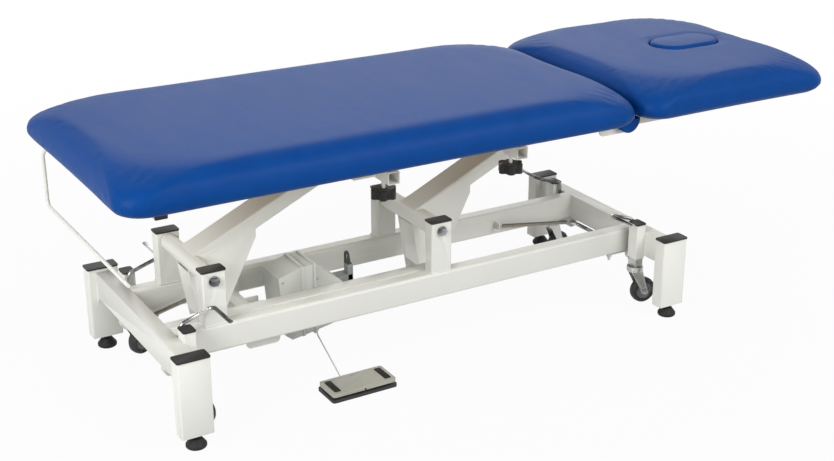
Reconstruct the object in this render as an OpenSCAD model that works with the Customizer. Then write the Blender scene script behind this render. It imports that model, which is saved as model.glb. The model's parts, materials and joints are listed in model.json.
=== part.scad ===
// Height-adjustable treatment table with two padded sections, a parallel lift and retractable casters.
// X runs along the table with the head end at +X, Y runs across it, and Z is up from the floor.
// The origin lies on the floor under the middle of the padded top.

/* [Padded top] */
// Overall length of the padded top
table_len = 2060; // [1800:5:2200]
// Length of the head section
head_len = 646; // [450:1:700]
// Gap between the two sections at their fullest
section_gap = 18; // [14:1:30]
// Width of the padded top
cushion_w = 730; // [560:5:780]
// Thickness of the padding at its crown
cushion_t = 94; // [60:1:110]
// Width of the rolled edge all round
edge_roll = 70; // [40:1:80]
// Corner radius of the padding in plan near its underside
cushion_corner_r = 62; // [50:1:130]
// Roundness of the crown's corners, where they are pulled down: 1 makes a crown without straight ends
crown_round = 0.94; // [0.5:0.01:0.98]
// How far the long sides draw in at their middle
side_draw_in = 4; // [0:0.5:8]
// Thickness of the boards under the padding
board_t = 12; // [9:1:18]
// How far the boards stay inside the padding's edge
board_inset = 45; // [20:1:50]

/* [Face hole] */
// Length of the face hole
hole_len = 220; // [180:1:240]
// Width of the face hole
hole_w = 124; // [100:1:150]
// Distance from the head end to the middle of the face hole
hole_from_end = 235; // [180:1:250]
// Clearance round the face hole plug
plug_clearance = 2; // [1:0.5:4]
// How far the plug stands above the padding
plug_rise = 4; // [0:1:14]

/* [Base] */
// Length of the base over its legs
base_len = 1487; // [1300:1:1600]
// Width of the base over its legs
base_w = 657; // [560:1:760]
// How far the padding reaches past the top frame at the foot end
foot_overhang = 103; // [60:1:160]
// Distance of the head hinge from the head arm's upper pivot
hinge_after_pivot = 73.5; // [70:0.5:90]
// Size of a leg along the table
leg_x = 80; // [60:1:100]
// Size of a leg across the table
leg_y = 40; // [30:1:50]
// Height of the legs' lower ends above the floor
leg_bottom_z = 35; // [30:1:45]
// Height of the leg caps above the floor
leg_top_z = 233; // [228:1:245]
// Height of the base tubes
rail_h = 70; // [60:1:76]
// Width of the base tubes
rail_w = 40; // [36:1:44]
// Height of the base tubes' lower faces
rail_bottom_z = 152; // [150:1:156]
// Distance of the side rails' middles from the centre line
rail_y = 148; // [144:1:152]
// Wall thickness of the base tubes
tube_wall = 3; // [2:0.5:4]
// Outer corner radius of the tubes
tube_corner_r = 4; // [3:0.5:6]
// Outer corner radius of the side rails
rail_corner_r = 8; // [4:0.5:10]
// Radius of the webs between the end beams and the legs
beam_web_r = 25; // [15:1:30]
// Thickness of the plastic end caps
cap_t = 4; // [3:0.5:6]
// How far the end caps stand over their tubes
cap_over = 1.5; // [0:0.25:2]

/* [Lift] */
// Size of a pivot post along the table
post_x = 60; // [50:1:80]
// Size of a pivot post across the table
post_y = 36; // [30:1:38]
// Height of the post caps above the floor
post_top_z = 363; // [360:1:370]
// Position of the foot posts from the base's middle
foot_pivot_x = -579; // [-600:1:-560]
// Position of the head posts from the base's middle
head_pivot_x = 49; // [30:1:70]
// Height of the lower pivots
pivot_z = 336; // [330:1:340]
// Distance between the lower and upper pivots of an arm
arm_len = 470; // [440:1:475]
// Angle of the arms above level as drawn
arm_angle = 25; // [22:0.5:28]
// Width of a lift arm
arm_w = 80; // [70:1:90]
// Depth of a lift arm's tube
arm_h = 40; // [36:1:44]
// Thickness of the arms' plates
arm_plate_t = 5; // [4:0.5:6]
// Diameter of the foot arm's round pivot tube
pivot_tube_d = 42; // [38:1:46]
// Side of the head arm's square pivot tube
pivot_tube_side = 36; // [32:1:40]
// Diameter of the pivot bolts
pivot_bolt_d = 16; // [12:1:18]

/* [Top frame] */
// Side of the top frame's square tubes
frame_tube = 30; // [25:1:32]
// Distance of the frame rails' outer faces from the centre line
frame_rail_y = 262; // [240:1:275]
// Length of the capped cross tube at the foot end
foot_tube_len = 562; // [540:1:590]
// Side of the accessory sockets
socket_side = 32; // [30:1:34]
// Length of the accessory sockets
socket_len = 66; // [55:1:80]
// Position of the foot-end accessory socket from the base's middle
socket_foot_x = -149; // [-200:1:-120]
// Position of the head-end accessory socket from the base's middle
socket_head_x = 224; // [180:1:260]
// Diameter of the star knobs
knob_d = 67; // [50:1:72]
// Diameter of the paper roll bar
roll_bar_d = 9; // [8:0.5:12]
// Drop of the paper roll bar below the frame
roll_bar_drop = 144; // [120:1:160]

/* [Casters] */
// Diameter of the caster wheels
wheel_d = 74; // [50:1:76]
// Width of the caster tyres
wheel_w = 26; // [20:1:28]
// Height of the retracted wheels above the floor
wheel_lift = 4; // [3:0.5:6]
// Trail of the caster wheels behind their swivels
caster_trail = 28; // [22:1:32]
// Distance of the caster stems from the centre line
caster_y = 202; // [200:1:206]
// Diameter of the pedal shafts
shaft_d = 12; // [10:1:14]
// Diameter of the bent pedal rods
pedal_d = 10; // [8:0.5:10]

/* [Actuator] */
// Length of the actuator housing
housing_len = 180; // [170:1:190]
// Width of the actuator housing
housing_w = 100; // [90:1:110]
// Wall of the actuator housing
housing_wall = 3; // [2:0.5:4]
// Diameter of the actuator's rod
rod_d = 24; // [20:1:26]
// Inner diameter of the actuator's guide tube
guide_d = 44; // [43:1:46]

/* [Foot switch] */
// Length of the foot switch
switch_len = 182; // [160:1:200]
// Width of the foot switch
switch_w = 88; // [80:1:100]
// Height of the foot switch
switch_h = 24; // [23:1:38]
// Diameter of the foot switch cord
cord_d = 3.5; // [3:0.5:3.9]

/* [Hidden] */

// Shared fits and smoothness
round_fn = 48;
small_fn = 32;
cut_over = 2;
run_gap = 0.05;
side_gap = 0.5;
seat_gap = 0.3;
frame_wall = 2.5;
bend_swell = 0.2;
bend_lap = 1;

// Corner signs in the order of the numbered feet and casters: foot near, foot far, head near, head far
corners = [[-1, -1], [-1, 1], [1, -1], [1, 1]];
fork_turns = [-60, 22, -10, 10];

// Main places worked out from the sizes above
main_len = table_len - head_len - section_gap;
main_x0 = -table_len / 2;
main_x1 = main_x0 + main_len;
head_x0 = main_x1 + section_gap;
head_x1 = table_len / 2;
leg_cx = base_len / 2 - leg_x / 2;
leg_cy = base_w / 2 - leg_y / 2;
leg_in_y = base_w / 2 - leg_y;
beam_in_x = leg_cx - rail_w / 2;
rail_top_z = rail_bottom_z + rail_h;
rail_in_y = rail_y - rail_w / 2;
rail_out_y = rail_y + rail_w / 2;

// Lift geometry: the upper pivots and the frame that they carry
upper_pin_d = 16;
boss_proud = 1;
bracket_rise = 7.5;
rise_x = arm_len * cos(arm_angle);
rise_z = arm_len * sin(arm_angle);
upper_z = pivot_z + rise_z;
foot_upper_x = foot_pivot_x + rise_x;
head_upper_x = head_pivot_x + rise_x;
boss_r = arm_h / 2 + boss_proud;
frame_z0 = upper_z + boss_r + bracket_rise;
frame_z1 = frame_z0 + frame_tube;
crown_z = frame_z1 + cushion_t;

// Head hinge axis, under the middle of the gap
hinge_x = (main_x1 + head_x0) / 2;
base_cx = hinge_x - head_upper_x - hinge_after_pivot;
hinge_drop = 21;
hinge_z = frame_z1 - hinge_drop;
hinge_pin_d = 12;
hinge_plate_t = 6;
knuckle_r = 12;
knuckle_w = 11.7;

// Lift arm plates, from the pivot: the lug below it and the outline of the side plates
lug_dx = 33;
lug_dz = -198;
lug_r = 20;
lug_pin_d = 12;
plate_left_dx = -18;
plate_corner_dx = 165;
plate_knee_dx = 79;
plate_knee_dz = -132;
plate_step = 22;
foot_plate_dz = -168;
foot_plate_x0 = 10;
foot_plate_x1 = 58;
web_top_dz = -24;
web_bottom_dz = -146;

// Casters
sleeve_x = 30;
sleeve_y = 38;
sleeve_z0 = 145;
sleeve_z1 = 250;
sleeve_wall = 2;
stem_play = 0.4;
stem_cx = beam_in_x - sleeve_x / 2;
stem_x = sleeve_x - 2 * sleeve_wall - 2 * stem_play;
stem_y = sleeve_y - 2 * sleeve_wall - 2 * stem_play;
stem_z0 = 119;
stem_top_gap = 14;
fork_plate_t = 3;
fork_head_d = 46;
fork_head_h = 14;
fork_gap = 1.5;
fork_plate_w = 34;
kingpin_d = 10;
kingpin_len = 22;
axle_d = 8;
wheel_z = wheel_lift + wheel_d / 2;
hub_d = 48;
hub_w = 20;

// Pedal shafts under the end beams, with rods that rise between rail and sleeve
shaft_in_beam = 14.5;
shaft_cx = beam_in_x + shaft_in_beam;
shaft_z = 132;
pedal_y = (rail_out_y + caster_y - sleeve_y / 2) / 2;
shaft_past_pedal = 5.5;
shaft_half = pedal_y + shaft_past_pedal;
pedal_dx = 5;
pedal_x = stem_cx + pedal_dx;
pedal_rise_z = 250;
elbow_dx = 78.5;
elbow_x = stem_cx - elbow_dx;
elbow_z = 278;
pedal_tip_y = 280;
pedal_tip_z = 280;
link_pin_d = 8;
link_pin_depth = 8;
link_slot_x = 20;
link_slot_z = 11;
hanger_y = rail_y;
hanger_w = 20;
hanger_back = 92;
hanger_flange_t = 7;
hanger_bolt_dx = 82;
hanger_bolt_d = 8;
hanger_bolt_drop = 24;
hanger_x = 28;
hanger_drop = 11;

// Return springs along the far rail
spring_from_rail = 16;
spring_y = rail_in_y - spring_from_rail;
spring_reach = 288;
spring_past_mount = 11;
spring_anchor_head_x = shaft_cx - spring_reach;
spring_anchor_z = 184;
spring_arm_dx = 26;
spring_arm_dz = 12;
spring_coil_r = 5;
spring_wire_r = 1;
spring_curls = 24;
spring_straight = 12;
spring_tab_t = 4;

// Actuator places, from the base's middle
housing_x0 = -363;
seam_dx = 70;
ridge_dx = 101;
housing_lean = 14;
housing_left_z0 = 88;
housing_low_dx = 33;
housing_low_z = 72;
housing_seam_z0 = 77;
housing_right_z0 = 97;
housing_left_z1 = 250;
housing_top_z = 268;
housing_right_z1 = 205;
ridge_t = 6;
ridge_out = 4;
guide_wall = 3;
guide_past_lug = 6.5;
guide_z = pivot_z + lug_dz + guide_past_lug;
guide_in_housing = 9;
guide_len = 97;
guide_x0 = housing_x0 + housing_len - guide_in_housing;
guide_x1 = guide_x0 + guide_len;
rear_pin_x = -408;
rear_past_lug = 8;
rear_pin_z = pivot_z + lug_dz + rear_past_lug;
rear_eye_w = 26;
rear_eye_r = 16;
rear_pin_d = 12;
rod_len = 356;
rod_eye_r = 17;
motor_d = 56;
motor_len = 62;
motor_z = 212;
mount_x0 = -489;
mount_x1 = -399;
spring_anchor_foot_x = spring_past_mount - mount_x0;
mount_z0 = 118;
mount_t = 6;
mount_corner_r = 12;
mount_bar_x0 = -468;
mount_bar = 40;
ear_t = 6;
ear_gap = 0.5;

// Foot switch place, from the base's middle
switch_cx = -248;
switch_back_y = -205;
switch_cy = switch_back_y - switch_w / 2;
tray_h = 8;
rocker_z0 = 13.5;
rocker_inset = 2.5;
rocker_wall = 2;
rocker_pin_d = 5;
rocker_axis_z = 16.5;
pad_len = 18;
pad_w = 62;
pad_t = 1;
pad_inset = 9;

// Shape of the rolled edge: inset over edge_roll, height over cushion_t, share of the crown's corner radius
edge_shares = [[0.3, 0, 0], [0.19, 0.06, 0], [0.08, 0.13, 0], [0, 0.22, 0], [0.01, 0.38, 0.01],
               [0.06, 0.55, 0.07], [0.15, 0.7, 0.22], [0.29, 0.82, 0.44], [0.43, 0.9, 0.65],
               [0.59, 0.95, 0.83], [0.8, 0.977, 0.95], [1.05, 0.988, 1], [2.1, 0.995, 1]];
crown_corner_r = crown_round * (min(cushion_w, head_len) / 2 - edge_roll);
corner_steps = 8;
side_steps = 4;

// Route of the foot switch cord, from its gland under the gear housing down to the switch
gland_dx = 106.5;
cord_route = [[0, -42, 79], [0, -42, 74], [0, -44, 70], [-1, -48.5, 67], [-2, -62.6, 61.6],
              [-3, -76.8, 56.2], [-4, -90.9, 50.8], [-5, -105.1, 45.4], [-6, -119.2, 40],
              [-7, -133.4, 34.6], [-8, -147.6, 29.2], [-9, -161.7, 23.8], [-10, -175.9, 18.4],
              [-11, -190, 13], [-11.6, -198, 9], [-12, -205, 5.5]];

// Basic shapes

module rounded(w, h, r) {
    union() {
        square([w - 2 * r, h], center = true);
        square([w, h - 2 * r], center = true);
        for (sx = [-1, 1], sy = [-1, 1])
            translate([sx * (w / 2 - r), sy * (h / 2 - r)]) circle(r = r, $fn = small_fn);
    }
}

module tube_profile(w, h, wall, r) {
    difference() {
        rounded(w, h, r);
        square([w - 2 * wall, h - 2 * wall], center = true);
    }
}

module round_tube_profile(w, h, wall, r) {
    difference() {
        rounded(w, h, r);
        rounded(w - 2 * wall, h - 2 * wall, r - wall);
    }
}

module along_x(x0, x1) {
    translate([x0, 0, 0]) rotate([90, 0, 90]) linear_extrude(x1 - x0) children();
}

module along_y(y0, y1) {
    translate([0, y1, 0]) rotate([90, 0, 0]) linear_extrude(y1 - y0) children();
}

module rod_y(d, y0, y1) {
    translate([0, y0, 0]) rotate([-90, 0, 0]) cylinder(d = d, h = y1 - y0, $fn = round_fn);
}

module rod_x(d, x0, x1) {
    translate([x0, 0, 0]) rotate([0, 90, 0]) cylinder(d = d, h = x1 - x0, $fn = round_fn);
}

module box(x0, x1, y0, y1, z0, z1) {
    translate([x0, y0, z0]) cube([x1 - x0, y1 - y0, z1 - z0]);
}

module on_base() {
    translate([base_cx, 0, 0]) children();
}

module both_sides() {
    children();
    mirror([0, 1, 0]) children();
}

module both_ends() {
    children();
    mirror([1, 0, 0]) children();
}

module rod_between(a, b, d) {
    v = b - a;
    flat = norm([v.x, v.y]);
    translate(a) rotate([0, atan2(flat, v.z), atan2(v.y, v.x)])
        cylinder(d = d, h = norm(v), $fn = small_fn);
}

// A bent rod: straight lengths joined by round bends, given by the corners of its middle line

function unit(v) = v / norm(v);
function turn_at(p, i) = acos(unit(p[i] - p[i - 1]) * unit(p[i + 1] - p[i]));
function trim_at(p, i, r) = i == 0 || i == len(p) - 1 ? 0 : r * tan(turn_at(p, i) / 2);

module bend_at(p, i, d, r) {
    u = unit(p[i] - p[i - 1]);
    w = unit(cross(u, unit(p[i + 1] - p[i])));
    n = cross(w, u);
    c = p[i] - u * trim_at(p, i, r) + n * r;
    multmatrix([[-n.x, u.x, w.x, c.x], [-n.y, u.y, w.y, c.y], [-n.z, u.z, w.z, c.z]])
        rotate_extrude(angle = turn_at(p, i), $fn = round_fn)
        translate([r, 0]) circle(d = d + bend_swell, $fn = small_fn);
}

module bent_rod(p, d, r) {
    for (i = [0 : len(p) - 2])
        let (u = unit(p[i + 1] - p[i]), near = max(0, trim_at(p, i, r) - bend_lap),
             far = max(0, trim_at(p, i + 1, r) - bend_lap))
        rod_between(p[i] + u * near, p[i + 1] - u * far, d);
    for (i = [1 : len(p) - 2]) bend_at(p, i, d, r);
}

// A swept tube: rings of a few sides, square to a route of points and carried along it without twist

function route_dir(p, i) = unit(p[min(i + 1, len(p) - 1)] - p[max(i - 1, 0)]);
function square_to(s, d) = unit(s - (s * d) * d);
function ring_sides(p, up) =
    [for (i = 0, s = square_to(up, route_dir(p, 0)); i < len(p);
          i = i + 1, s = i < len(p) ? square_to(s, route_dir(p, i)) : s) s];
function ring_points(c, d, s, r, sides) =
    let (t = cross(d, s))
    [for (k = [0 : sides - 1]) c + r * (cos(360 * k / sides) * s + sin(360 * k / sides) * t)];
function sweep_points(p, r, sides, up) =
    let (s = ring_sides(p, up))
    [for (i = [0 : len(p) - 1]) each ring_points(p[i], route_dir(p, i), s[i], r, sides)];
function quad(a, b, c, d) = [[a, b, c], [a, c, d]];
function sweep_faces(rings, sides) = concat(
    [for (i = [0 : rings - 2], k = [0 : sides - 1]) let (n = (k + 1) % sides)
        each quad(i * sides + k, (i + 1) * sides + k, (i + 1) * sides + n, i * sides + n)],
    [for (k = [1 : sides - 2]) [0, k, k + 1]],
    let (last = (rings - 1) * sides)
    [for (k = [1 : sides - 2]) [last, last + k + 1, last + k]]);

module swept_tube(p, r, sides, up) {
    polyhedron(points = sweep_points(p, r, sides, up), faces = sweep_faces(len(p), sides));
}

// Padding: a ladder of rounded outlines from the flat underside to the crown

function corner_arc(cx, cy, r, a0) =
    [for (i = [0 : corner_steps]) let (a = a0 + 90 * i / corner_steps) [cx + r * cos(a), cy + r * sin(a)]];
function side_run(a, b, dip) =
    let (n = unit([a.y - b.y, b.x - a.x]))
    [for (i = [1 : side_steps - 1])
        let (t = i / side_steps) a + (b - a) * t + n * dip * 4 * t * (1 - t)];
function outline(hx, hy, r, dip) =
    let (c0 = corner_arc(hx - r, hy - r, r, 0), c1 = corner_arc(r - hx, hy - r, r, 90),
         c2 = corner_arc(r - hx, r - hy, r, 180), c3 = corner_arc(hx - r, r - hy, r, 270), e = corner_steps)
    concat(c0, side_run(c0[e], c1[0], dip), c1, side_run(c1[e], c2[0], dip),
           c2, side_run(c2[e], c3[0], dip), c3, side_run(c3[e], c0[0], dip));
function lifted(o, z) = [for (q = o) [q.x, q.y, z]];
function padding_rings(hx, hy, t) =
    [for (s = edge_shares)
        let (d = s[0] * edge_roll, dip = side_draw_in * max(0, 1 - s[0]),
             r = cushion_corner_r + (crown_corner_r - cushion_corner_r) * s[2] - max(0, d - edge_roll))
        lifted(outline(hx - d, hy - d, r, dip), s[1] * t)];

module padding(length, width, t) {
    rings = padding_rings(length / 2, width / 2, t);
    n = len(rings[0]);
    m = len(rings);
    pts = concat([for (r = rings) each r], [[0, 0, 0], [0, 0, t]]);
    faces = concat(
        [for (i = [0 : m - 2], k = [0 : n - 1])
            each quad(i * n + k, (i + 1) * n + k, (i + 1) * n + (k + 1) % n, i * n + (k + 1) % n)],
        [for (k = [0 : n - 1]) [m * n, k, (k + 1) % n]],
        [for (k = [0 : n - 1]) [m * n + 1, (m - 1) * n + (k + 1) % n, (m - 1) * n + k]]);
    polyhedron(points = pts, faces = faces);
}

// Base frame

module spring_tab(x) {
    box(x - spring_tab_t, x, spring_y - 2 * spring_coil_r, rail_in_y,
        spring_anchor_z - 2 * spring_coil_r, spring_anchor_z + 2 * spring_coil_r);
}

// A closed cable channel runs inside the near rail from the foot end to the head post
channel_w = 40;
channel_h = 34;

module side_rails() {
    color("ivory") on_base() both_sides() translate([0, rail_y, rail_bottom_z + rail_h / 2])
        along_x(-beam_in_x, beam_in_x) round_tube_profile(rail_w, rail_h, tube_wall, rail_corner_r);
    color("ivory") on_base() translate([0, channel_w / 2 - rail_in_y, rail_top_z - channel_h / 2])
        along_x(-beam_in_x, head_pivot_x) tube_profile(channel_w, channel_h, frame_wall, tube_wall);
    color("ivory") on_base() {
        spring_tab(spring_anchor_head_x);
        mirror([1, 0, 0]) spring_tab(spring_anchor_foot_x);
    }
}

module beam_face() {
    square([2 * leg_in_y, rail_h], center = true);
    for (s = [-1, 1]) difference() {
        translate([s * (leg_in_y - beam_web_r / 2), -(rail_h + beam_web_r) / 2])
            square([beam_web_r, beam_web_r], center = true);
        translate([s * (leg_in_y - beam_web_r), -rail_h / 2 - beam_web_r])
            circle(r = beam_web_r, $fn = round_fn);
    }
}

module end_beams() {
    color("ivory") on_base() both_ends() difference() {
        translate([0, 0, rail_bottom_z + rail_h / 2]) along_x(beam_in_x, beam_in_x + rail_w) beam_face();
        box(beam_in_x + tube_wall, beam_in_x + rail_w - tube_wall, -leg_in_y + rail_w, leg_in_y - rail_w,
            rail_bottom_z + tube_wall, rail_top_z - tube_wall);
    }
}

leg_foot_t = 12;
foot_stud_d = 12;

module legs() {
    color("ivory") on_base() for (c = corners) translate([c.x * leg_cx, c.y * leg_cy, 0]) difference() {
        translate([0, 0, leg_bottom_z]) linear_extrude(leg_top_z - cap_t - leg_bottom_z)
            rounded(leg_x, leg_y, tube_corner_r);
        translate([0, 0, leg_bottom_z + leg_foot_t])
            linear_extrude(leg_top_z)
            square([leg_x - 2 * frame_wall, leg_y - 2 * frame_wall], center = true);
        cylinder(d = foot_stud_d + 2 * run_gap, h = leg_top_z, $fn = round_fn);
    }
}

cap_spigot = 8;

module cap(w, h, wall, top_z) {
    inside = 2 * wall + 2 * seat_gap;
    translate([0, 0, top_z - cap_t])
        linear_extrude(cap_t) rounded(w + 2 * cap_over, h + 2 * cap_over, tube_corner_r + cap_over);
    translate([0, 0, top_z - cap_t - cap_spigot])
        linear_extrude(cap_spigot) square([w - inside, h - inside], center = true);
}

module end_caps() {
    color("dimgray") on_base() {
        for (c = corners) translate([c.x * leg_cx, c.y * leg_cy, 0])
            cap(leg_x, leg_y, frame_wall, leg_top_z);
        for (c = corners) translate([c.x * stem_cx, c.y * caster_y, 0])
            cap(sleeve_x, sleeve_y, sleeve_wall, sleeve_z1);
        for (x = [foot_pivot_x, head_pivot_x]) both_sides()
            translate([x, rail_in_y + post_seat + post_y / 2, 0]) cap(post_x, post_y, tube_wall, post_top_z);
    }
}

post_seat = 1;

module pivot_posts() {
    color("ivory") on_base() for (x = [foot_pivot_x, head_pivot_x]) both_sides() difference() {
        translate([x, rail_in_y + post_seat + post_y / 2, rail_top_z])
            linear_extrude(post_top_z - cap_t - rail_top_z)
            tube_profile(post_x, post_y, tube_wall, tube_corner_r);
        translate([x, 0, pivot_z]) rod_y(pivot_bolt_d, 0, rail_out_y + cut_over);
    }
}

bolt_head_d = 23;
bolt_head_h = 8;
washer_d = 28;
washer_t = 2.5;
bolt_reach = 45;
post_out_y = rail_in_y + post_seat + post_y;

module pivot_bolts() {
    color("silver") on_base() for (x = [foot_pivot_x, head_pivot_x]) both_sides()
        translate([x, 0, pivot_z]) {
        rod_y(pivot_bolt_d, rail_in_y - bolt_reach, post_out_y + washer_t);
        rod_y(washer_d, post_out_y, post_out_y + washer_t);
        translate([0, post_out_y + washer_t, 0]) rotate([-90, 0, 0])
            cylinder(d = bolt_head_d, h = bolt_head_h, $fn = 6);
    }
}

module caster_sleeves() {
    color("ivory") on_base() for (c = corners) translate([c.x * stem_cx, c.y * caster_y, sleeve_z0])
        linear_extrude(sleeve_z1 - cap_t - sleeve_z0)
        tube_profile(sleeve_x, sleeve_y, sleeve_wall, sleeve_wall);
}

module shaft_hangers() {
    hanger_y0 = hanger_y - hanger_w / 2;
    color("whitesmoke") on_base() both_ends() both_sides() difference() {
        union() {
            box(shaft_cx - hanger_x / 2, shaft_cx + hanger_x / 2, hanger_y0, hanger_y0 + hanger_w,
                shaft_z, rail_bottom_z);
            box(shaft_cx - hanger_back, shaft_cx, hanger_y0, hanger_y0 + hanger_w,
                rail_bottom_z - hanger_flange_t, rail_bottom_z);
            translate([shaft_cx, 0, shaft_z])
                rod_y(shaft_d + 2 * hanger_drop, hanger_y0, hanger_y0 + hanger_w);
            translate([shaft_cx - hanger_bolt_dx, hanger_y, rail_bottom_z - hanger_bolt_drop])
                cylinder(d = hanger_bolt_d, h = hanger_bolt_drop - hanger_flange_t / 2, $fn = small_fn);
            translate([shaft_cx - hanger_bolt_dx, hanger_y, rail_bottom_z - 2 * hanger_flange_t])
                cylinder(d = 2 * hanger_bolt_d, h = hanger_flange_t, $fn = 6);
        }
        translate([shaft_cx, 0, shaft_z]) rod_y(shaft_d + 2 * run_gap, 0, base_w / 2);
    }
}

// Actuator and its mount

mount_out_y = rail_in_y;
mount_in_y = rail_in_y - mount_t;
ear_in = rear_eye_w / 2 + ear_gap;

module mount_plate(top_z) {
    square_z0 = mount_z0 + mount_corner_r;
    translate([(mount_x0 + mount_x1) / 2, (mount_z0 + top_z) / 2]) union() {
        rounded(mount_x1 - mount_x0, top_z - mount_z0, mount_corner_r);
        translate([0, (square_z0 - mount_z0) / 2])
            square([mount_x1 - mount_x0, top_z - square_z0], center = true);
    }
}

module actuator_mount() {
    color("ivory") on_base() {
        along_y(mount_in_y, mount_out_y) mount_plate(rail_top_z);
        along_y(-mount_out_y, -mount_in_y) mount_plate(rail_top_z - channel_h);
        box(mount_bar_x0, mount_bar_x0 + mount_bar, -mount_in_y, mount_in_y,
            rear_pin_z, rear_pin_z + mount_bar);
        both_sides() difference() {
            union() {
                box(mount_bar_x0 + mount_bar, rear_pin_x, ear_in, ear_in + ear_t,
                    rear_pin_z - rear_eye_r, rear_pin_z + mount_bar);
                box(rear_pin_x, rear_pin_x + rear_eye_r, ear_in, ear_in + ear_t,
                    rear_pin_z, rear_pin_z + mount_bar);
                translate([rear_pin_x, 0, rear_pin_z]) rod_y(2 * rear_eye_r, ear_in, ear_in + ear_t);
            }
            translate([rear_pin_x, 0, rear_pin_z]) rod_y(rear_pin_d, 0, rail_in_y);
        }
        translate([rear_pin_x, 0, rear_pin_z]) rod_y(rear_pin_d, -ear_in - 2 * ear_t, ear_in + 2 * ear_t);
    }
}

function shell_left(w) =
    [[housing_lean + w, housing_left_z0 + w], [housing_low_dx + w / 2, housing_low_z + w],
     [seam_dx, housing_seam_z0 + w], [seam_dx, housing_top_z - w], [w, housing_left_z1 - w]];
function shell_right(w) =
    [[seam_dx, housing_seam_z0 + w], [housing_len - w, housing_right_z0 + w],
     [housing_len - w, housing_right_z1 - w / 2], [ridge_dx - w / 2, housing_top_z - w],
     [seam_dx, housing_top_z - w]];

module housing_half(points, inner) {
    difference() {
        translate([housing_x0, 0, 0]) along_y(-housing_w / 2, housing_w / 2) polygon(points);
        translate([housing_x0, 0, 0]) along_y(-housing_w / 2 + housing_wall, housing_w / 2 - housing_wall)
            polygon(inner);
    }
}

module ridge(dx, z_low, z_high) {
    difference() {
        translate([housing_x0 + dx, 0, (z_low + z_high) / 2]) along_x(-ridge_t, 0)
            rounded(housing_w + 2 * ridge_out, z_high - z_low + 2 * ridge_out, 2 * ridge_out);
        box(housing_x0 + dx - ridge_t - cut_over, housing_x0 + dx + cut_over, -housing_w / 2 + housing_wall,
            housing_w / 2 - housing_wall, z_low + housing_wall, z_high - housing_wall);
    }
}

module motor_housing() {
    color("lightgray") on_base() {
        housing_half(shell_left(0), shell_left(housing_wall));
        ridge(seam_dx, housing_seam_z0, housing_top_z);
        difference() {
            union() {
                box(rear_pin_x, housing_x0 + housing_lean, -rear_eye_w / 2, rear_eye_w / 2,
                    rear_pin_z - rear_eye_r, rear_pin_z + rear_eye_r);
                translate([rear_pin_x, 0, rear_pin_z])
                    rod_y(2 * rear_eye_r, -rear_eye_w / 2, rear_eye_w / 2);
            }
            translate([rear_pin_x, 0, rear_pin_z]) rod_y(rear_pin_d, -rail_in_y, rail_in_y);
        }
    }
}

gland_d = 12;
gland_h = 8;

module gear_housing() {
    color("lightgray") on_base() {
        difference() {
            union() {
                housing_half(shell_right(0), shell_right(housing_wall));
                ridge(ridge_dx + ridge_t / 2, housing_seam_z0, housing_top_z);
            }
            translate([0, 0, guide_z]) rod_x(guide_d + 2 * guide_wall, guide_x0, guide_x1);
        }
        translate([housing_x0 + gland_dx, cord_route[0].y, cord_route[0].z])
            cylinder(d = gland_d, h = gland_h, $fn = small_fn);
    }
}

// The motor starts at the leaning wall of the housing
motor_low = housing_left_z1 - housing_wall - motor_z + motor_d / 2;
motor_lean = housing_lean * motor_low / (housing_left_z1 - housing_left_z0 - 2 * housing_wall);
motor_x0 = housing_x0 + housing_wall + motor_lean;

module lift_motor() {
    color("slategray") on_base() translate([motor_x0, 0, motor_z]) rod_x(motor_d, 0, motor_len);
}

module guide_tube() {
    color("gainsboro") on_base() translate([0, 0, guide_z]) difference() {
        rod_x(guide_d + 2 * guide_wall, guide_x0, guide_x1);
        rod_x(guide_d, guide_x0 - cut_over, guide_x1 + cut_over);
    }
}

plug_x = 16;
plug_y = 22;
plug_h = 48;
plug_past_housing = 45;
plug_cx = housing_x0 + housing_len + plug_past_housing;
plug_z0 = 176;
lead_r = 3.5;
lead_rise = 23;
lead_reach = 18;
lead_steps = 10;

lead_route = concat(
    [[plug_cx, 0, plug_z0 + plug_h], [plug_cx, 0, plug_z0 + plug_h + lead_rise / 2]],
    [for (i = [0 : lead_steps]) let (a = 180 * i / lead_steps)
        [plug_cx, lead_reach / 2 * (1 - cos(a)), plug_z0 + plug_h + lead_rise + lead_reach / 2 * sin(a)]],
    [[plug_cx, lead_reach, plug_z0 + plug_h], [plug_cx, lead_reach, plug_z0 + plug_h / 2]]);

module motor_plug() {
    color("darkgray") on_base() {
        box(plug_cx - plug_x / 2, plug_cx + plug_x / 2, -plug_y / 2, plug_y / 2, plug_z0, plug_z0 + plug_h);
        box(housing_x0 + housing_len, plug_cx + plug_x / 2, -plug_y / 2, lead_reach + plug_y / 4,
            plug_z0, plug_z0 + plug_h / 2);
    }
    color("dimgray") on_base() swept_tube(lead_route, lead_r, 10, [1, 0, 0]);
}

// Foot switch and its cord

pin_block_y = switch_w / 2 - rocker_inset - rocker_wall - rocker_pin_d;

module foot_switch_base() {
    color("dimgray") on_base() translate([switch_cx, switch_cy, 0]) {
        linear_extrude(tray_h) rounded(switch_len, switch_w, 2 * tube_corner_r);
        both_sides() translate([0, pin_block_y, tray_h])
            linear_extrude(rocker_axis_z - tray_h + rocker_pin_d / 2)
            square([2 * rocker_pin_d, rocker_pin_d], center = true);
        both_sides() translate([0, 0, rocker_axis_z])
            rod_y(rocker_pin_d, pin_block_y, switch_w / 2 - rocker_inset + side_gap);
    }
}

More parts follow.
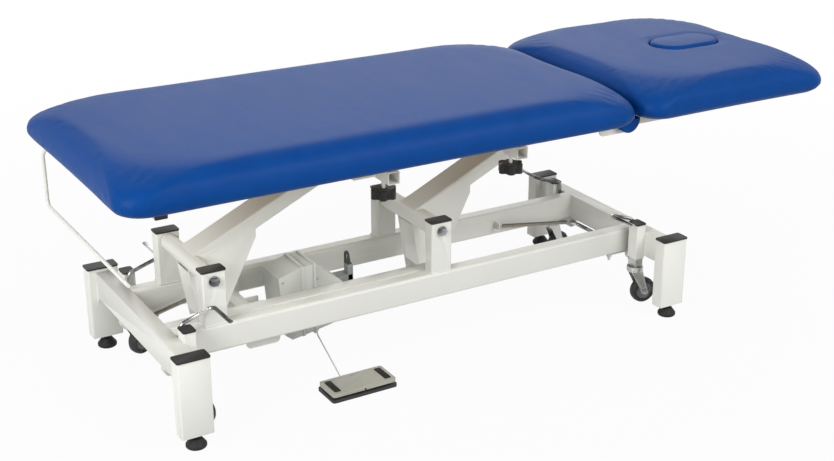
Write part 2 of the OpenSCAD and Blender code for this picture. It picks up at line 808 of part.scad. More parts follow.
module foot_switch_rocker() {
    rocker_len = switch_len - 2 * rocker_inset;
    rocker_w = switch_w - 2 * rocker_inset;
    cover_h = switch_h - pad_t - rocker_z0;
    on_base() translate([switch_cx, switch_cy, 0]) {
        color("tan") difference() {
            translate([0, 0, rocker_z0]) linear_extrude(cover_h)
                rounded(rocker_len, rocker_w, 2 * tube_corner_r);
            translate([0, 0, rocker_z0 - cut_over]) linear_extrude(cover_h - rocker_wall + cut_over)
                rounded(rocker_len - 2 * rocker_wall, rocker_w - 2 * rocker_wall, tube_corner_r);
            translate([0, 0, rocker_axis_z]) rod_y(rocker_pin_d + 2 * run_gap, -switch_w, switch_w);
        }
        color("black") for (s = [-1, 1])
            translate([s * (rocker_len / 2 - pad_inset - pad_len / 2), 0, switch_h - pad_t])
            linear_extrude(pad_t) rounded(pad_len, pad_w, tube_corner_r);
    }
}

module foot_switch_cord() {
    color("white") on_base() translate([housing_x0 + gland_dx, 0, 0])
        swept_tube(cord_route, cord_d / 2, 8, [1, 0, 0]);
}

// Levelling feet

foot_d = 50;
foot_rim_h = 9;
foot_dome_h = 24;
foot_neck_d = 28;
foot_stud_top = 70;

module levelling_foot(i) {
    color("black") on_base() translate([corners[i].x * leg_cx, corners[i].y * leg_cy, 0]) {
        rotate_extrude($fn = round_fn) polygon(
            [[0, 0], [foot_d / 2 - foot_rim_h / 3, 0], [foot_d / 2, foot_rim_h / 3],
             [foot_d / 2, foot_rim_h], [foot_d / 3, foot_dome_h * 5 / 6], [foot_neck_d / 2, foot_dome_h],
             [0, foot_dome_h]]);
        cylinder(d = foot_stud_d, h = foot_stud_top, $fn = round_fn);
    }
}

// Lift arms

module arm_tube() {
    rotate([0, -arm_angle, 0]) difference() {
        rotate([90, 0, 90]) linear_extrude(arm_len)
            tube_profile(arm_w - 2 * side_gap, arm_h, tube_wall, tube_corner_r);
        translate([arm_len, 0, 0]) rod_y(2 * boss_r, -arm_w, arm_w);
    }
    translate([rise_x, 0, rise_z]) difference() {
        rod_y(2 * boss_r, -arm_w / 2, arm_w / 2);
        rod_y(upper_pin_d + 2 * run_gap, -arm_w, arm_w);
    }
}

function on_arm(u, v) = [u * cos(arm_angle) - v * sin(arm_angle), u * sin(arm_angle) + v * cos(arm_angle)];

module plate_outline(lower) {
    corner_z = on_arm(plate_corner_dx / cos(arm_angle), -arm_h / 2).y;
    polygon(concat([on_arm(0, arm_h / 2), [plate_left_dx, 0]], lower,
        [[plate_knee_dx, plate_knee_dz], [plate_corner_dx, corner_z - plate_step],
         [plate_corner_dx, corner_z], on_arm(plate_corner_dx / cos(arm_angle), arm_h / 4)]));
}

module side_plates(lower) {
    both_sides() along_y(arm_w / 2 - arm_plate_t, arm_w / 2) {
        plate_outline(lower);
        children();
    }
}

web_slope = (foot_plate_x0 - plate_left_dx) / foot_plate_dz;
function web_x(z) = plate_left_dx + web_slope * z;

module arm_web(bottom) {
    along_y(-arm_w / 2 + arm_plate_t, arm_w / 2 - arm_plate_t)
        polygon([[web_x(web_top_dz), web_top_dz], [web_x(bottom), bottom],
                 [web_x(bottom) + arm_plate_t, bottom], [web_x(web_top_dz) + arm_plate_t, web_top_dz]]);
}

module lift_arm_foot() {
    color("ivory") on_base() translate([foot_pivot_x, 0, pivot_z]) difference() {
        union() {
            arm_tube();
            side_plates([[foot_plate_x0, foot_plate_dz], [foot_plate_x1, foot_plate_dz]]);
            arm_web(web_bottom_dz);
        }
        rod_y(pivot_tube_d, -arm_w, arm_w);
        translate([rise_x, 0, rise_z]) rod_y(upper_pin_d + 2 * run_gap, -arm_w, arm_w);
    }
}

module lift_arm_head() {
    color("ivory") on_base() translate([head_pivot_x, 0, pivot_z]) difference() {
        union() {
            arm_tube();
            side_plates([[lug_dx - lug_r, lug_dz], [lug_dx + lug_r, lug_dz]])
                translate([lug_dx, lug_dz]) circle(r = lug_r, $fn = round_fn);
            arm_web(web_bottom_dz);
        }
        along_y(-arm_w, arm_w) square([pivot_tube_side, pivot_tube_side], center = true);
        translate([lug_dx, 0, lug_dz]) rod_y(lug_pin_d, -arm_w, arm_w);
        translate([rise_x, 0, rise_z]) rod_y(upper_pin_d + 2 * run_gap, -arm_w, arm_w);
    }
}

pivot_half = rail_in_y + post_seat - cap_over - side_gap;
pivot_plug_len = 50;

module pivot_bore() {
    rod_y(pivot_bolt_d + 2 * run_gap, -rail_y, rail_y);
}

module pivot_tube_foot() {
    color("ivory") on_base() translate([foot_pivot_x, 0, pivot_z]) difference() {
        rod_y(pivot_tube_d, -pivot_half, pivot_half);
        pivot_bore();
        rod_y(pivot_tube_d - 2 * tube_wall, -pivot_half + pivot_plug_len, pivot_half - pivot_plug_len);
    }
}

module pivot_tube_head() {
    color("ivory") on_base() translate([head_pivot_x, 0, pivot_z]) difference() {
        along_y(-pivot_half, pivot_half) square([pivot_tube_side, pivot_tube_side], center = true);
        pivot_bore();
        along_y(-pivot_half + pivot_plug_len, pivot_half - pivot_plug_len)
            square([pivot_tube_side - 2 * tube_wall, pivot_tube_side - 2 * tube_wall], center = true);
    }
}

rod_eye_w = 24;
spacer_d = 22;
pin_head_d = 20;
pin_head_h = 4;

module rod_pin() {
    color("silver") on_base() translate([head_pivot_x + lug_dx, 0, pivot_z + lug_dz]) {
        rod_y(lug_pin_d, -arm_w / 2, arm_w / 2);
        both_sides() rod_y(pin_head_d, arm_w / 2, arm_w / 2 + pin_head_h);
        both_sides() rod_y(spacer_d, rod_eye_w / 2 + side_gap, arm_w / 2 - arm_plate_t);
    }
}

module actuator_rod() {
    color("silver") on_base() translate([head_pivot_x + lug_dx, 0, pivot_z + lug_dz]) difference() {
        union() {
            rod_x(rod_d, -rod_len, 0);
            rod_y(2 * rod_eye_r, -rod_eye_w / 2, rod_eye_w / 2);
        }
        rod_y(lug_pin_d + 2 * run_gap, -arm_w, arm_w);
    }
}

// Top frame

frame_x0 = main_x0 - base_cx + foot_overhang;
frame_x1 = hinge_x - base_cx - frame_tube;
frame_mid_z = frame_z0 + frame_tube / 2;

module frame_rails() {
    color("ivory") on_base() both_sides() translate([0, frame_rail_y - frame_tube / 2, frame_mid_z])
        along_x(frame_x0 + frame_tube, frame_x1)
        tube_profile(frame_tube, frame_tube, frame_wall, frame_wall);
}

tube_after_pivot = 15;
foot_tube_half = foot_tube_len / 2;
frame_in_y = frame_rail_y - frame_tube;

module cross_tube(x, half) {
    translate([x + frame_tube / 2, 0, frame_mid_z]) along_y(-half, half)
        tube_profile(frame_tube, frame_tube, frame_wall, frame_wall);
}

module cross_tubes() {
    color("ivory") on_base() {
        cross_tube(frame_x0, foot_tube_half);
        cross_tube(foot_upper_x + tube_after_pivot, frame_in_y);
        cross_tube(head_upper_x + tube_after_pivot, frame_in_y);
    }
}

module frame_caps() {
    spigot = frame_tube - 2 * frame_wall - 2 * seat_gap;
    color("black") on_base() both_sides() translate([frame_x0 + frame_tube / 2, 0, frame_mid_z]) {
        along_y(foot_tube_half, foot_tube_half + cap_t) rounded(frame_tube, frame_tube, frame_wall);
        along_y(foot_tube_half - cap_spigot, foot_tube_half) square([spigot, spigot], center = true);
    }
}

socket_z0 = frame_z0 - socket_side;
knob_screw_d = 10;
knob_y = frame_rail_y - 47;
socket_reach = 6;

module accessory_sockets() {
    socket_y0 = -frame_rail_y - socket_reach;
    color("ivory") on_base() for (x = [socket_foot_x, socket_head_x]) difference() {
        translate([x, 0, socket_z0 + socket_side / 2]) along_y(socket_y0, socket_y0 + socket_len)
            tube_profile(socket_side, socket_side, frame_wall, frame_wall);
        translate([x, -knob_y, socket_z0 - cut_over])
            cylinder(d = knob_screw_d + 2 * run_gap, h = frame_wall + 2 * cut_over, $fn = small_fn);
    }
}

knob_h = 24;
knob_gap = 24;
knob_lobes = 6;
knob_lobe_d = 20;
knob_core_d = 52;
knob_screw_up = 1;

module socket_knob(x) {
    color("black") on_base() translate([x, -knob_y, socket_z0 - knob_gap - knob_h]) {
        cylinder(d = knob_core_d, h = knob_h, $fn = round_fn);
        for (a = [0 : 360 / knob_lobes : 359]) rotate([0, 0, a])
            translate([(knob_d - knob_lobe_d) / 2, 0, 0])
            cylinder(d = knob_lobe_d, h = knob_h, $fn = small_fn);
        cylinder(d = knob_screw_d, h = knob_h + knob_gap + frame_wall + knob_screw_up, $fn = small_fn);
    }
}

bracket_t = 6;
bracket_gap = 1;
bracket_r = boss_r + 2 * bracket_gap;
side_plate_x0 = -255;
side_plate_len = 60;
side_plate_y = 40;
side_plate_t = 5;
hinge_plate_x0 = -80;
hinge_plate_drop = 13;

module pivot_bracket(x) {
    both_sides() difference() {
        along_y(arm_w / 2 + bracket_gap, arm_w / 2 + bracket_gap + bracket_t) union() {
            translate([x, upper_z]) circle(r = bracket_r, $fn = round_fn);
            polygon([[x - bracket_r, upper_z], [x + tube_after_pivot, frame_z0],
                     [x + tube_after_pivot + frame_tube, frame_z0], [x + bracket_r, upper_z]]);
        }
        translate([x, 0, upper_z]) rod_y(upper_pin_d, 0, arm_w);
    }
}

module hinge_plate() {
    x = hinge_x - base_cx;
    low_z = frame_z0 - hinge_plate_drop;
    top_z = frame_z1 - side_gap;
    difference() {
        along_y(frame_rail_y, frame_rail_y + hinge_plate_t) union() {
            translate([x + hinge_plate_x0 + knuckle_r, low_z + knuckle_r])
                circle(r = knuckle_r, $fn = small_fn);
            translate([x + knuckle_r / 3, low_z + knuckle_r]) circle(r = knuckle_r, $fn = small_fn);
            polygon([[x + hinge_plate_x0, top_z], [x + hinge_plate_x0, low_z + knuckle_r],
                     [x + hinge_plate_x0 + knuckle_r, low_z], [x + knuckle_r / 3, low_z],
                     [x + knuckle_r * 4 / 3, low_z + knuckle_r], [x + knuckle_r * 4 / 3, top_z]]);
        }
        translate([x, 0, hinge_z]) rod_y(hinge_pin_d, 0, base_w);
    }
}

module frame_brackets() {
    color("ivory") on_base() {
        pivot_bracket(foot_upper_x);
        pivot_bracket(head_upper_x);
        both_sides() hinge_plate();
        box(side_plate_x0, side_plate_x0 + side_plate_len, -frame_rail_y, -frame_rail_y + side_plate_y,
            frame_z0 - side_plate_t, frame_z0);
    }
}

module upper_pins() {
    pin_half = arm_w / 2 + bracket_gap + bracket_t;
    color("silver") on_base() {
        for (x = [foot_upper_x, head_upper_x]) translate([x, 0, upper_z]) {
            rod_y(upper_pin_d, -pin_half, pin_half);
            both_sides() rod_y(bolt_head_d, pin_half, pin_half + pin_head_h);
        }
        both_sides() translate([hinge_x - base_cx, 0, hinge_z]) {
            rod_y(hinge_pin_d, frame_rail_y - seat_gap - knuckle_w, frame_rail_y + hinge_plate_t);
            rod_y(pin_head_d, frame_rail_y + hinge_plate_t, frame_rail_y + hinge_plate_t + pin_head_h);
        }
    }
}

roll_out = 77;
roll_x = frame_x0 - roll_out;
roll_y = foot_tube_half - roll_bar_d;
roll_end_y = 304;
roll_bend_r = 16;
roll_bar_z = frame_mid_z - roll_bar_drop;

module paper_roll_bar() {
    color("white") on_base()
        bent_rod([[frame_x0, roll_y, frame_mid_z], [roll_x, roll_y, frame_mid_z],
                  [roll_x, roll_y, roll_bar_z], [roll_x, -roll_end_y, roll_bar_z]],
                 roll_bar_d, roll_bend_r);
}

// Boards and padding

board_corner_r = cushion_corner_r - board_inset / 2;

module board(x0, x1) {
    translate([(x0 + x1) / 2, 0, frame_z1]) linear_extrude(board_t)
        rounded(x1 - x0 - 2 * board_inset, cushion_w - 2 * board_inset, board_corner_r);
}

module board_recess(x0, x1) {
    translate([(x0 + x1) / 2, 0, frame_z1 - cut_over]) linear_extrude(board_t + cut_over)
        rounded(x1 - x0 - 2 * board_inset, cushion_w - 2 * board_inset, board_corner_r);
}

module main_board() {
    color("burlywood") board(main_x0, main_x1);
}

module main_cushion() {
    color("royalblue") difference() {
        translate([(main_x0 + main_x1) / 2, 0, frame_z1]) padding(main_len, cushion_w, cushion_t);
        board_recess(main_x0, main_x1);
    }
}

hole_x = head_x1 - hole_from_end;

module oval(length, width) {
    r = width / 2;
    square([length - width, width], center = true);
    for (s = [-1, 1]) translate([s * (length - width) / 2, 0]) circle(r = r, $fn = round_fn);
}

module face_hole() {
    translate([hole_x, 0, frame_z1 - cut_over]) linear_extrude(cushion_t + 2 * cut_over)
        oval(hole_len, hole_w);
}

module head_board() {
    color("burlywood") difference() {
        board(head_x0, head_x1);
        face_hole();
    }
}

module head_cushion() {
    color("royalblue") difference() {
        translate([(head_x0 + head_x1) / 2, 0, frame_z1]) padding(head_len, cushion_w, cushion_t);
        board_recess(head_x0, head_x1);
        face_hole();
    }
}

plug_lip = 6;

module face_plug() {
    color("royalblue") translate([hole_x, 0, frame_z1 + seat_gap]) {
        linear_extrude(cushion_t + plug_rise - plug_lip)
            oval(hole_len - 2 * plug_clearance, hole_w - 2 * plug_clearance);
        translate([0, 0, cushion_t + plug_rise - plug_lip]) linear_extrude(plug_lip)
            oval(hole_len - 2 * plug_clearance - 2 * plug_lip, hole_w - 2 * plug_clearance - 2 * plug_lip);
    }
}

// Head section frame, hinges and gap cover

head_rail_gap = 20;
head_rail_x0 = hinge_x + head_rail_gap;
head_rail_x1 = head_x1 - board_inset - 2 * frame_tube;
head_cross_x = head_x0 + 145;

module head_frame() {
    color("ivory") {
        both_sides() translate([0, frame_rail_y - side_gap - frame_tube / 2, frame_mid_z])
            along_x(head_rail_x0, head_rail_x1)
            tube_profile(frame_tube, frame_tube, frame_wall, frame_wall);
        for (x = [head_cross_x, head_rail_x1 - frame_tube]) translate([x + frame_tube / 2, 0, frame_mid_z])
            along_y(-frame_in_y, frame_in_y) tube_profile(frame_tube, frame_tube, frame_wall, frame_wall);
        for (s = [-1, 1]) translate([hole_x, s * (hole_w / 2 + frame_tube / 2), frame_mid_z])
            along_x(head_cross_x + frame_tube - hole_x, head_rail_x1 - frame_tube - hole_x)
            tube_profile(frame_tube / 2, frame_tube, frame_wall, frame_wall);
    }
}

module head_hinges() {
    knuckle_y1 = frame_rail_y - seat_gap;
    color("ivory") both_sides() difference() {
        union() {
            translate([hinge_x, 0, hinge_z]) rod_y(2 * knuckle_r, knuckle_y1 - knuckle_w, knuckle_y1);
            box(hinge_x, head_rail_x0, knuckle_y1 - knuckle_w, knuckle_y1,
                hinge_z - knuckle_r * 3 / 4, hinge_z + knuckle_r);
        }
        translate([hinge_x, 0, hinge_z]) rod_y(hinge_pin_d + 2 * run_gap, 0, base_w);
    }
}

cover_r = 27;
cover_end_r = 34;
cover_t = 2;
cover_half = 290;
cover_drop = 4;

module cover_section(r) {
    translate([-r, -cover_drop]) square([2 * r, cover_drop]);
    translate([0, -cover_drop]) intersection() {
        circle(r = r, $fn = round_fn);
        translate([-r, -r]) square([2 * r, r]);
    }
}

module cover_piece(r, y0, y1) {
    translate([hinge_x, 0, frame_z1 - seat_gap]) difference() {
        along_y(y0, y1) cover_section(r);
        translate([0, 0, cover_t]) along_y(y0 - cover_t, y1 + cover_t)
            translate([0, -cover_t]) cover_section(r - cover_t);
    }
}

module gap_cover() {
    color("midnightblue") {
        cover_piece(cover_r, -frame_in_y + 2 * side_gap, frame_in_y - 2 * side_gap);
        both_sides() cover_piece(cover_end_r, frame_rail_y + hinge_plate_t + seat_gap, cover_half);
    }
}

// Retractable casters, worked at each end by a shaft with two pedals

link_t = 6;
link_r = 9;
pedal_bend_r = 16;

module pedal_shaft() {
    translate([shaft_cx, 0, shaft_z]) rod_y(shaft_d, -shaft_half, shaft_half);
    both_sides() {
        along_y(pedal_y - link_t / 2, pedal_y + link_t / 2) union() {
            translate([pedal_x, shaft_z]) circle(r = link_r, $fn = round_fn);
            translate([shaft_cx, shaft_z]) circle(r = link_r, $fn = round_fn);
            translate([pedal_x, shaft_z - link_r]) square([shaft_cx - pedal_x, 2 * link_r]);
        }
        bent_rod([[pedal_x, pedal_y, shaft_z + link_r / 2], [pedal_x, pedal_y, pedal_rise_z],
                  [elbow_x, pedal_y, elbow_z], [elbow_x, pedal_tip_y, pedal_tip_z]], pedal_d, pedal_bend_r);
        translate([stem_cx, 0, shaft_z]) rod_y(link_pin_d, pedal_y, caster_y - stem_y / 2 + link_pin_depth);
    }
    translate([0, spring_y, 0]) rod_between([shaft_cx, 0, shaft_z],
        [shaft_cx - spring_arm_dx, 0, shaft_z + spring_arm_dz], link_pin_d);
}

module pedal_shaft_foot() {
    color("silver") on_base() mirror([1, 0, 0]) pedal_shaft();
}

module pedal_shaft_head() {
    color("silver") on_base() pedal_shaft();
}

// The springs run from a tab on the far rail to the arm on the pedal shaft
spring_b = [shaft_cx - spring_arm_dx - seat_gap, spring_y, shaft_z + spring_arm_dz];
curl_rings = 8;
least_pitch = 4;

function spring_start(x) = [x + seat_gap, spring_y, spring_anchor_z];
function curl_run(a) = norm(spring_b - a) - 2 * spring_straight;
function curl_count(a) = curl_rings * min(spring_curls, floor(curl_run(a) / least_pitch));
function curl_point(a, i) =
    let (u = unit(spring_b - a), up = cross(u, [0, 1, 0]), t = 360 * i / curl_rings, n = curl_count(a),
         grow = min(1, min(i, n - i) / (curl_rings / 2)))
    a + u * (spring_straight + curl_run(a) * i / n)
    + spring_coil_r * grow * (sin(t) * [0, 1, 0] + cos(t) * up);
function spring_route(a) = concat([a], [for (i = [0 : curl_count(a)]) curl_point(a, i)], [spring_b]);

module return_spring(x) {
    swept_tube(spring_route(spring_start(x)), spring_wire_r, 6, [0, 1, 0]);
}

module return_spring_foot() {
    color("gray") on_base() mirror([1, 0, 0]) return_spring(spring_anchor_foot_x);
}

module return_spring_head() {
    color("gray") on_base() return_spring(spring_anchor_head_x);
}

module caster_stem(i) {
    c = corners[i];
    slot_in = caster_y - stem_y / 2;
    stem_z1 = sleeve_z1 - cap_t - cap_spigot - stem_top_gap;
    color("silver") on_base() difference() {
        translate([c.x * stem_cx, c.y * caster_y, stem_z0])
            linear_extrude(stem_z1 - stem_z0) square([stem_x, stem_y], center = true);
        translate([c.x * stem_cx, c.y * caster_y, stem_z0 - cut_over])
            cylinder(d = kingpin_d + 2 * run_gap, h = kingpin_len + 2 * cut_over, $fn = small_fn);
        translate([c.x * (stem_cx + link_slot_x / 4), c.y * (slot_in + link_pin_depth / 2), shaft_z])
            cube([link_slot_x, link_pin_depth + 2 * side_gap, link_slot_z], center = true);
    }
}

module fork_plate() {
    axle_dz = wheel_z - stem_z0 + fork_head_h + fork_gap;
    half = axle_d + axle_d / 5;
    polygon([[-fork_plate_w / 2, 0], [fork_plate_w / 2, 0], [caster_trail + half, axle_dz - axle_d * 4 / 5],
             [caster_trail, axle_dz - axle_d * 7 / 5], [caster_trail - half, axle_dz - axle_d * 4 / 5]]);
}

fork_in = wheel_w / 2 + fork_gap;
fork_top_z = stem_z0 - seat_gap;

module caster_fork(i) {
    c = corners[i];
    head_z0 = fork_top_z - fork_head_h;
    color("silver") on_base() translate([c.x * stem_cx, c.y * caster_y, 0]) rotate([0, 0, fork_turns[i]]) {
        translate([0, 0, head_z0]) {
            cylinder(d = fork_head_d, h = fork_head_h, $fn = round_fn);
            cylinder(d = kingpin_d, h = fork_head_h + kingpin_len, $fn = small_fn);
            both_sides() along_y(fork_in, fork_in + fork_plate_t) fork_plate();
        }
        translate([caster_trail, 0, wheel_z])
            rod_y(axle_d, -fork_in - 2 * fork_plate_t, fork_in + 2 * fork_plate_t);
    }
}

tyre_round = 5;
tyre_lip = 1;

function half_tyre(s) =
    [[axle_d / 2 + run_gap, s * wheel_w / 2], [axle_d, s * wheel_w / 2],
     [axle_d + axle_d / 5, s * hub_w / 3], [hub_d / 2, s * hub_w / 3],
     [hub_d / 2 + tyre_lip, s * (wheel_w / 2 - tyre_lip)],
     [wheel_d / 2 - tyre_round, s * wheel_w / 2], [wheel_d / 2 - tyre_lip, s * (wheel_w / 2 - tyre_round)]];

module caster_wheel(i) {
    c = corners[i];
    color("dimgray") on_base() translate([c.x * stem_cx, c.y * caster_y, 0]) rotate([0, 0, fork_turns[i]])
        translate([caster_trail, 0, wheel_z]) rotate([90, 0, 0]) rotate_extrude($fn = 64)
        polygon(concat(half_tyre(-1), [[wheel_d / 2, 0]], [for (k = [6 : -1 : 0]) half_tyre(1)[k]]));
}

side_rails();
end_beams();
legs();
end_caps();
pivot_posts();
pivot_bolts();
caster_sleeves();
shaft_hangers();
actuator_mount();
motor_housing();
gear_housing();
lift_motor();
guide_tube();
motor_plug();
foot_switch_base();
foot_switch_rocker();
foot_switch_cord();
levelling_foot(0);  // levelling_foot_1
levelling_foot(1);  // levelling_foot_2
levelling_foot(2);  // levelling_foot_3
levelling_foot(3);  // levelling_foot_4
lift_arm_foot();
pivot_tube_foot();
lift_arm_head();
pivot_tube_head();
rod_pin();
actuator_rod();
frame_rails();
cross_tubes();
frame_caps();
accessory_sockets();
frame_brackets();
upper_pins();
paper_roll_bar();
main_board();
main_cushion();
socket_knob(socket_foot_x);  // socket_knob_foot
socket_knob(socket_head_x);  // socket_knob_head
head_frame();
head_hinges();
head_board();
head_cushion();
gap_cover();
face_plug();
pedal_shaft_foot();
pedal_shaft_head();
return_spring_foot();
return_spring_head();
caster_stem(0);  // caster_stem_1
caster_stem(1);  // caster_stem_2
caster_stem(2);  // caster_stem_3
caster_stem(3);  // caster_stem_4
caster_fork(0);  // caster_fork_1
caster_fork(1);  // caster_fork_2
caster_fork(2);  // caster_fork_3
caster_fork(3);  // caster_fork_4
caster_wheel(0);  // caster_wheel_1
caster_wheel(1);  // caster_wheel_2
caster_wheel(2);  // caster_wheel_3
caster_wheel(3);  // caster_wheel_4
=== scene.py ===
# %% [markdown]
# # An electric treatment table, dressed for the camera
#
# The steel frame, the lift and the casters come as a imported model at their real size. This
# notebook gives them edges that catch the light, finishes, padding and leads. Everything is in
# metres. X runs along the table towards its head end, Y across it, and Z up from the floor.

import json
import math
from contextlib import contextmanager

import bmesh
import bpy
from mathutils import Matrix, Vector, noise


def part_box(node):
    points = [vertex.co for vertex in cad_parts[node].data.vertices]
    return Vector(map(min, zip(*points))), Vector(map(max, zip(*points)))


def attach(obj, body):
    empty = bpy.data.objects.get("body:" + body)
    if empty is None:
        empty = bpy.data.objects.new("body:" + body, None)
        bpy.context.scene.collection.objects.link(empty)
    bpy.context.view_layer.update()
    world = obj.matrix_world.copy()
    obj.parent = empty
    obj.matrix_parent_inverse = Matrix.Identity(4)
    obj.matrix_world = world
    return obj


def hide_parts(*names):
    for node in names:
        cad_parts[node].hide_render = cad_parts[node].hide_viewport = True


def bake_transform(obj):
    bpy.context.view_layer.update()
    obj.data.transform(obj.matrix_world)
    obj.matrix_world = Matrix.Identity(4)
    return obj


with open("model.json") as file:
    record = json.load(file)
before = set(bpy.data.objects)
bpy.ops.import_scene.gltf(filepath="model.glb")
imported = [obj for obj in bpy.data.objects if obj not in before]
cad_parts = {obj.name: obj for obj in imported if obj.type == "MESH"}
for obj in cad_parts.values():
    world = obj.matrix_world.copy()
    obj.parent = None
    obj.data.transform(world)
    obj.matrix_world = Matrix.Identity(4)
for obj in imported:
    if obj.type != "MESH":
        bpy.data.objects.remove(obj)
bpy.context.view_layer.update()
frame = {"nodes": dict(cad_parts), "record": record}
MM = 0.001

# %% [markdown]
# ## The camera
#
# A product picture like this one is taken from a little above the table with a medium long lens.
# A small shift keeps the verticals where the lens put them while the table fills the frame. The
# camera is built from a heading, a pitch and a small roll, because those three can be read from
# the table's own straight edges.

# %% Camera
PICTURE = (834, 461)
CAMERA_PLACE = Vector((-1.8861, -3.0458, 1.6788))
CAMERA_HEADING = math.radians(32.49)
CAMERA_PITCH = math.radians(-21.95)
CAMERA_ROLL = math.radians(-0.68)
FOCAL_PX = 1409.1
AXIS_PX = (465.7, 237.8)
SENSOR = 36.0

camera = bpy.data.objects.new("camera", bpy.data.cameras.new("camera"))
bpy.context.scene.collection.objects.link(camera)
camera.location = CAMERA_PLACE
look = Vector((math.sin(CAMERA_HEADING) * math.cos(CAMERA_PITCH),
               math.cos(CAMERA_HEADING) * math.cos(CAMERA_PITCH), math.sin(CAMERA_PITCH)))
camera.rotation_mode = "QUATERNION"
camera.rotation_quaternion = (Matrix.Rotation(CAMERA_ROLL, 3, look)
                              @ look.to_track_quat("-Z", "Y").to_matrix()).to_quaternion()
camera.data.sensor_width = SENSOR
camera.data.lens = FOCAL_PX / PICTURE[0] * SENSOR
camera.data.shift_x = (PICTURE[0] / 2 - AXIS_PX[0]) / PICTURE[0]
camera.data.shift_y = (AXIS_PX[1] - PICTURE[1] / 2) / PICTURE[0]
bpy.context.scene.camera = camera
print("lens", round(camera.data.lens, 1), "mm")

# %% [markdown]
# ## Writing materials as sums
#
# A procedural finish is arithmetic on patterns. Instead of placing Math nodes by hand, a small
# class wraps one socket and adds the node whenever two values meet in a sum or a product.


# %% A value and a finish
class Value:
    """One output socket. Sums and products of values add Math nodes."""

    def __init__(self, finish, socket):
        self.finish, self.socket = finish, socket

    def maths(self, operation, *others):
        return self.finish.node("ShaderNodeMath", {"operation": operation}, {0: self, **{
            i + 1: other for i, other in enumerate(others)}})

    def __add__(self, other): return self.maths("ADD", other)
    def __radd__(self, other): return self.maths("ADD", other)
    def __mul__(self, other): return self.maths("MULTIPLY", other)
    def __rmul__(self, other): return self.maths("MULTIPLY", other)
    def __sub__(self, other): return self.maths("SUBTRACT", other)
    def __rsub__(self, other): return (self * -1) + other
    def clamp(self): return self.maths("MAXIMUM", 0.0).maths("MINIMUM", 1.0)


class Finish:
    """A material in the making: a Principled shader and the patterns that feed it."""

    def __init__(self, name, color, roughness, **constants):
        self.material = bpy.data.materials.new(name)
        self.material.use_nodes = True
        self.tree = self.material.node_tree
        self.shader = self.tree.nodes["Principled BSDF"]
        self.set("Base Color", (*color, 1.0))
        self.set("Roughness", roughness)
        for socket, value in constants.items():
            self.set(socket.replace("_", " ").title().replace("Ior", "IOR"), value)
        self.place = self.node("ShaderNodeTexCoord", output="Object")

    def set(self, socket, value):
        target = self.shader.inputs[socket]
        if isinstance(value, Value):
            self.tree.links.new(value.socket, target)
        else:
            target.default_value = value

    def node(self, kind, settings=None, inputs=None, output=0):
        made = self.tree.nodes.new(kind)
        for name, value in (settings or {}).items():
            setattr(made, name, value)
        for name, value in (inputs or {}).items():
            if isinstance(value, Value):
                self.tree.links.new(value.socket, made.inputs[name])
            else:
                made.inputs[name].default_value = value
        return Value(self, made.outputs[output])

    def noise(self, scale, detail=3.0, stretch=(1, 1, 1)):
        place = self.node("ShaderNodeMapping", {}, {"Vector": self.place, "Scale": stretch})
        return self.node("ShaderNodeTexNoise", {}, {"Vector": place, "Scale": scale, "Detail": detail})

    def cells(self, scale, feature="F1", stretch=(1, 1, 1)):
        place = self.node("ShaderNodeMapping", {}, {"Vector": self.place, "Scale": stretch})
        return self.node("ShaderNodeTexVoronoi", {"feature": feature}, {"Vector": place, "Scale": scale},
                         output="Distance")

    def mix(self, share, first, second):
        """A colour between two: constants or values, by a share from 0 to 1."""
        first, second = [c if isinstance(c, Value) else (*c, 1.0) for c in (first, second)]
        return self.node("ShaderNodeMix", {"data_type": "RGBA"}, {0: share, 6: first, 7: second}, output=2)

    def bump(self, height, distance, strength=1.0):
        self.set("Normal", self.node("ShaderNodeBump", {}, {"Height": height, "Distance": distance,
                                                            "Strength": strength}))


# %% [markdown]
# ## The finishes
#
# Powder coat isn't a flat white: it has an orange-peel skin and gathers a little grey in use.
# Plated steel varies in roughness more than in colour. Chrome has painted reflection: dark
# stripes in its colour where it would reflect the dark side of a room. Each finish is one colour,
# one or two patterns at a real scale, and the bump that those patterns make.


# %% Painted and plated steel
def make_powder_coat():
    made = Finish("powder_coat", (0.76, 0.765, 0.72), 0.34, specular_ior_level=0.45)
    clouds = made.noise(6.0, 4.0)
    peel = made.noise(420.0, 2.0)
    made.set("Base Color", made.mix((clouds - 0.35) * 0.9, (0.79, 0.795, 0.745), (0.725, 0.73, 0.675)))
    made.set("Roughness", clouds * 0.12 + 0.29)
    made.bump(peel, 0.0004, 0.5)
    return made.material


def make_zinc(name, color, roughness):
    made = Finish(name, color, roughness, metallic=1.0)
    streaks = made.noise(60.0, 5.0)
    spangle = made.cells(140.0)
    made.set("Base Color", made.mix(streaks, tuple(c * 0.78 for c in color), color))
    made.set("Roughness", (streaks - 0.5) * 0.3 + spangle * 0.12 + roughness)
    made.bump(streaks, 0.0002, 0.35)
    return made.material


def make_chrome():
    made = Finish("chrome", (0.5, 0.5, 0.51), 0.1, metallic=1.0)
    scuffs = made.noise(180.0, 6.0)
    reflection_bands = made.noise(34.0, 2.0, (0.35, 0.35, 1.0))
    made.set("Roughness", (scuffs - 0.45) * 0.25 + 0.1)
    # Painted reflection: dark stripes mixed into the chrome's colour, standing for the dark side of a room that
    # it would reflect.
    painted_reflection_share = ((reflection_bands - 0.5) * 5.0 + 0.45).clamp()
    made.set("Base Color", made.mix(painted_reflection_share, (0.1, 0.1, 0.103), (0.6, 0.6, 0.61)))
    return made.material


# %% [markdown]
# Moulded plastic and rubber have the fine texture of their mould and a slow change of tone where
# they were handled. One function makes them all, because they differ in colour, in the size of
# that texture and in how rough they are.


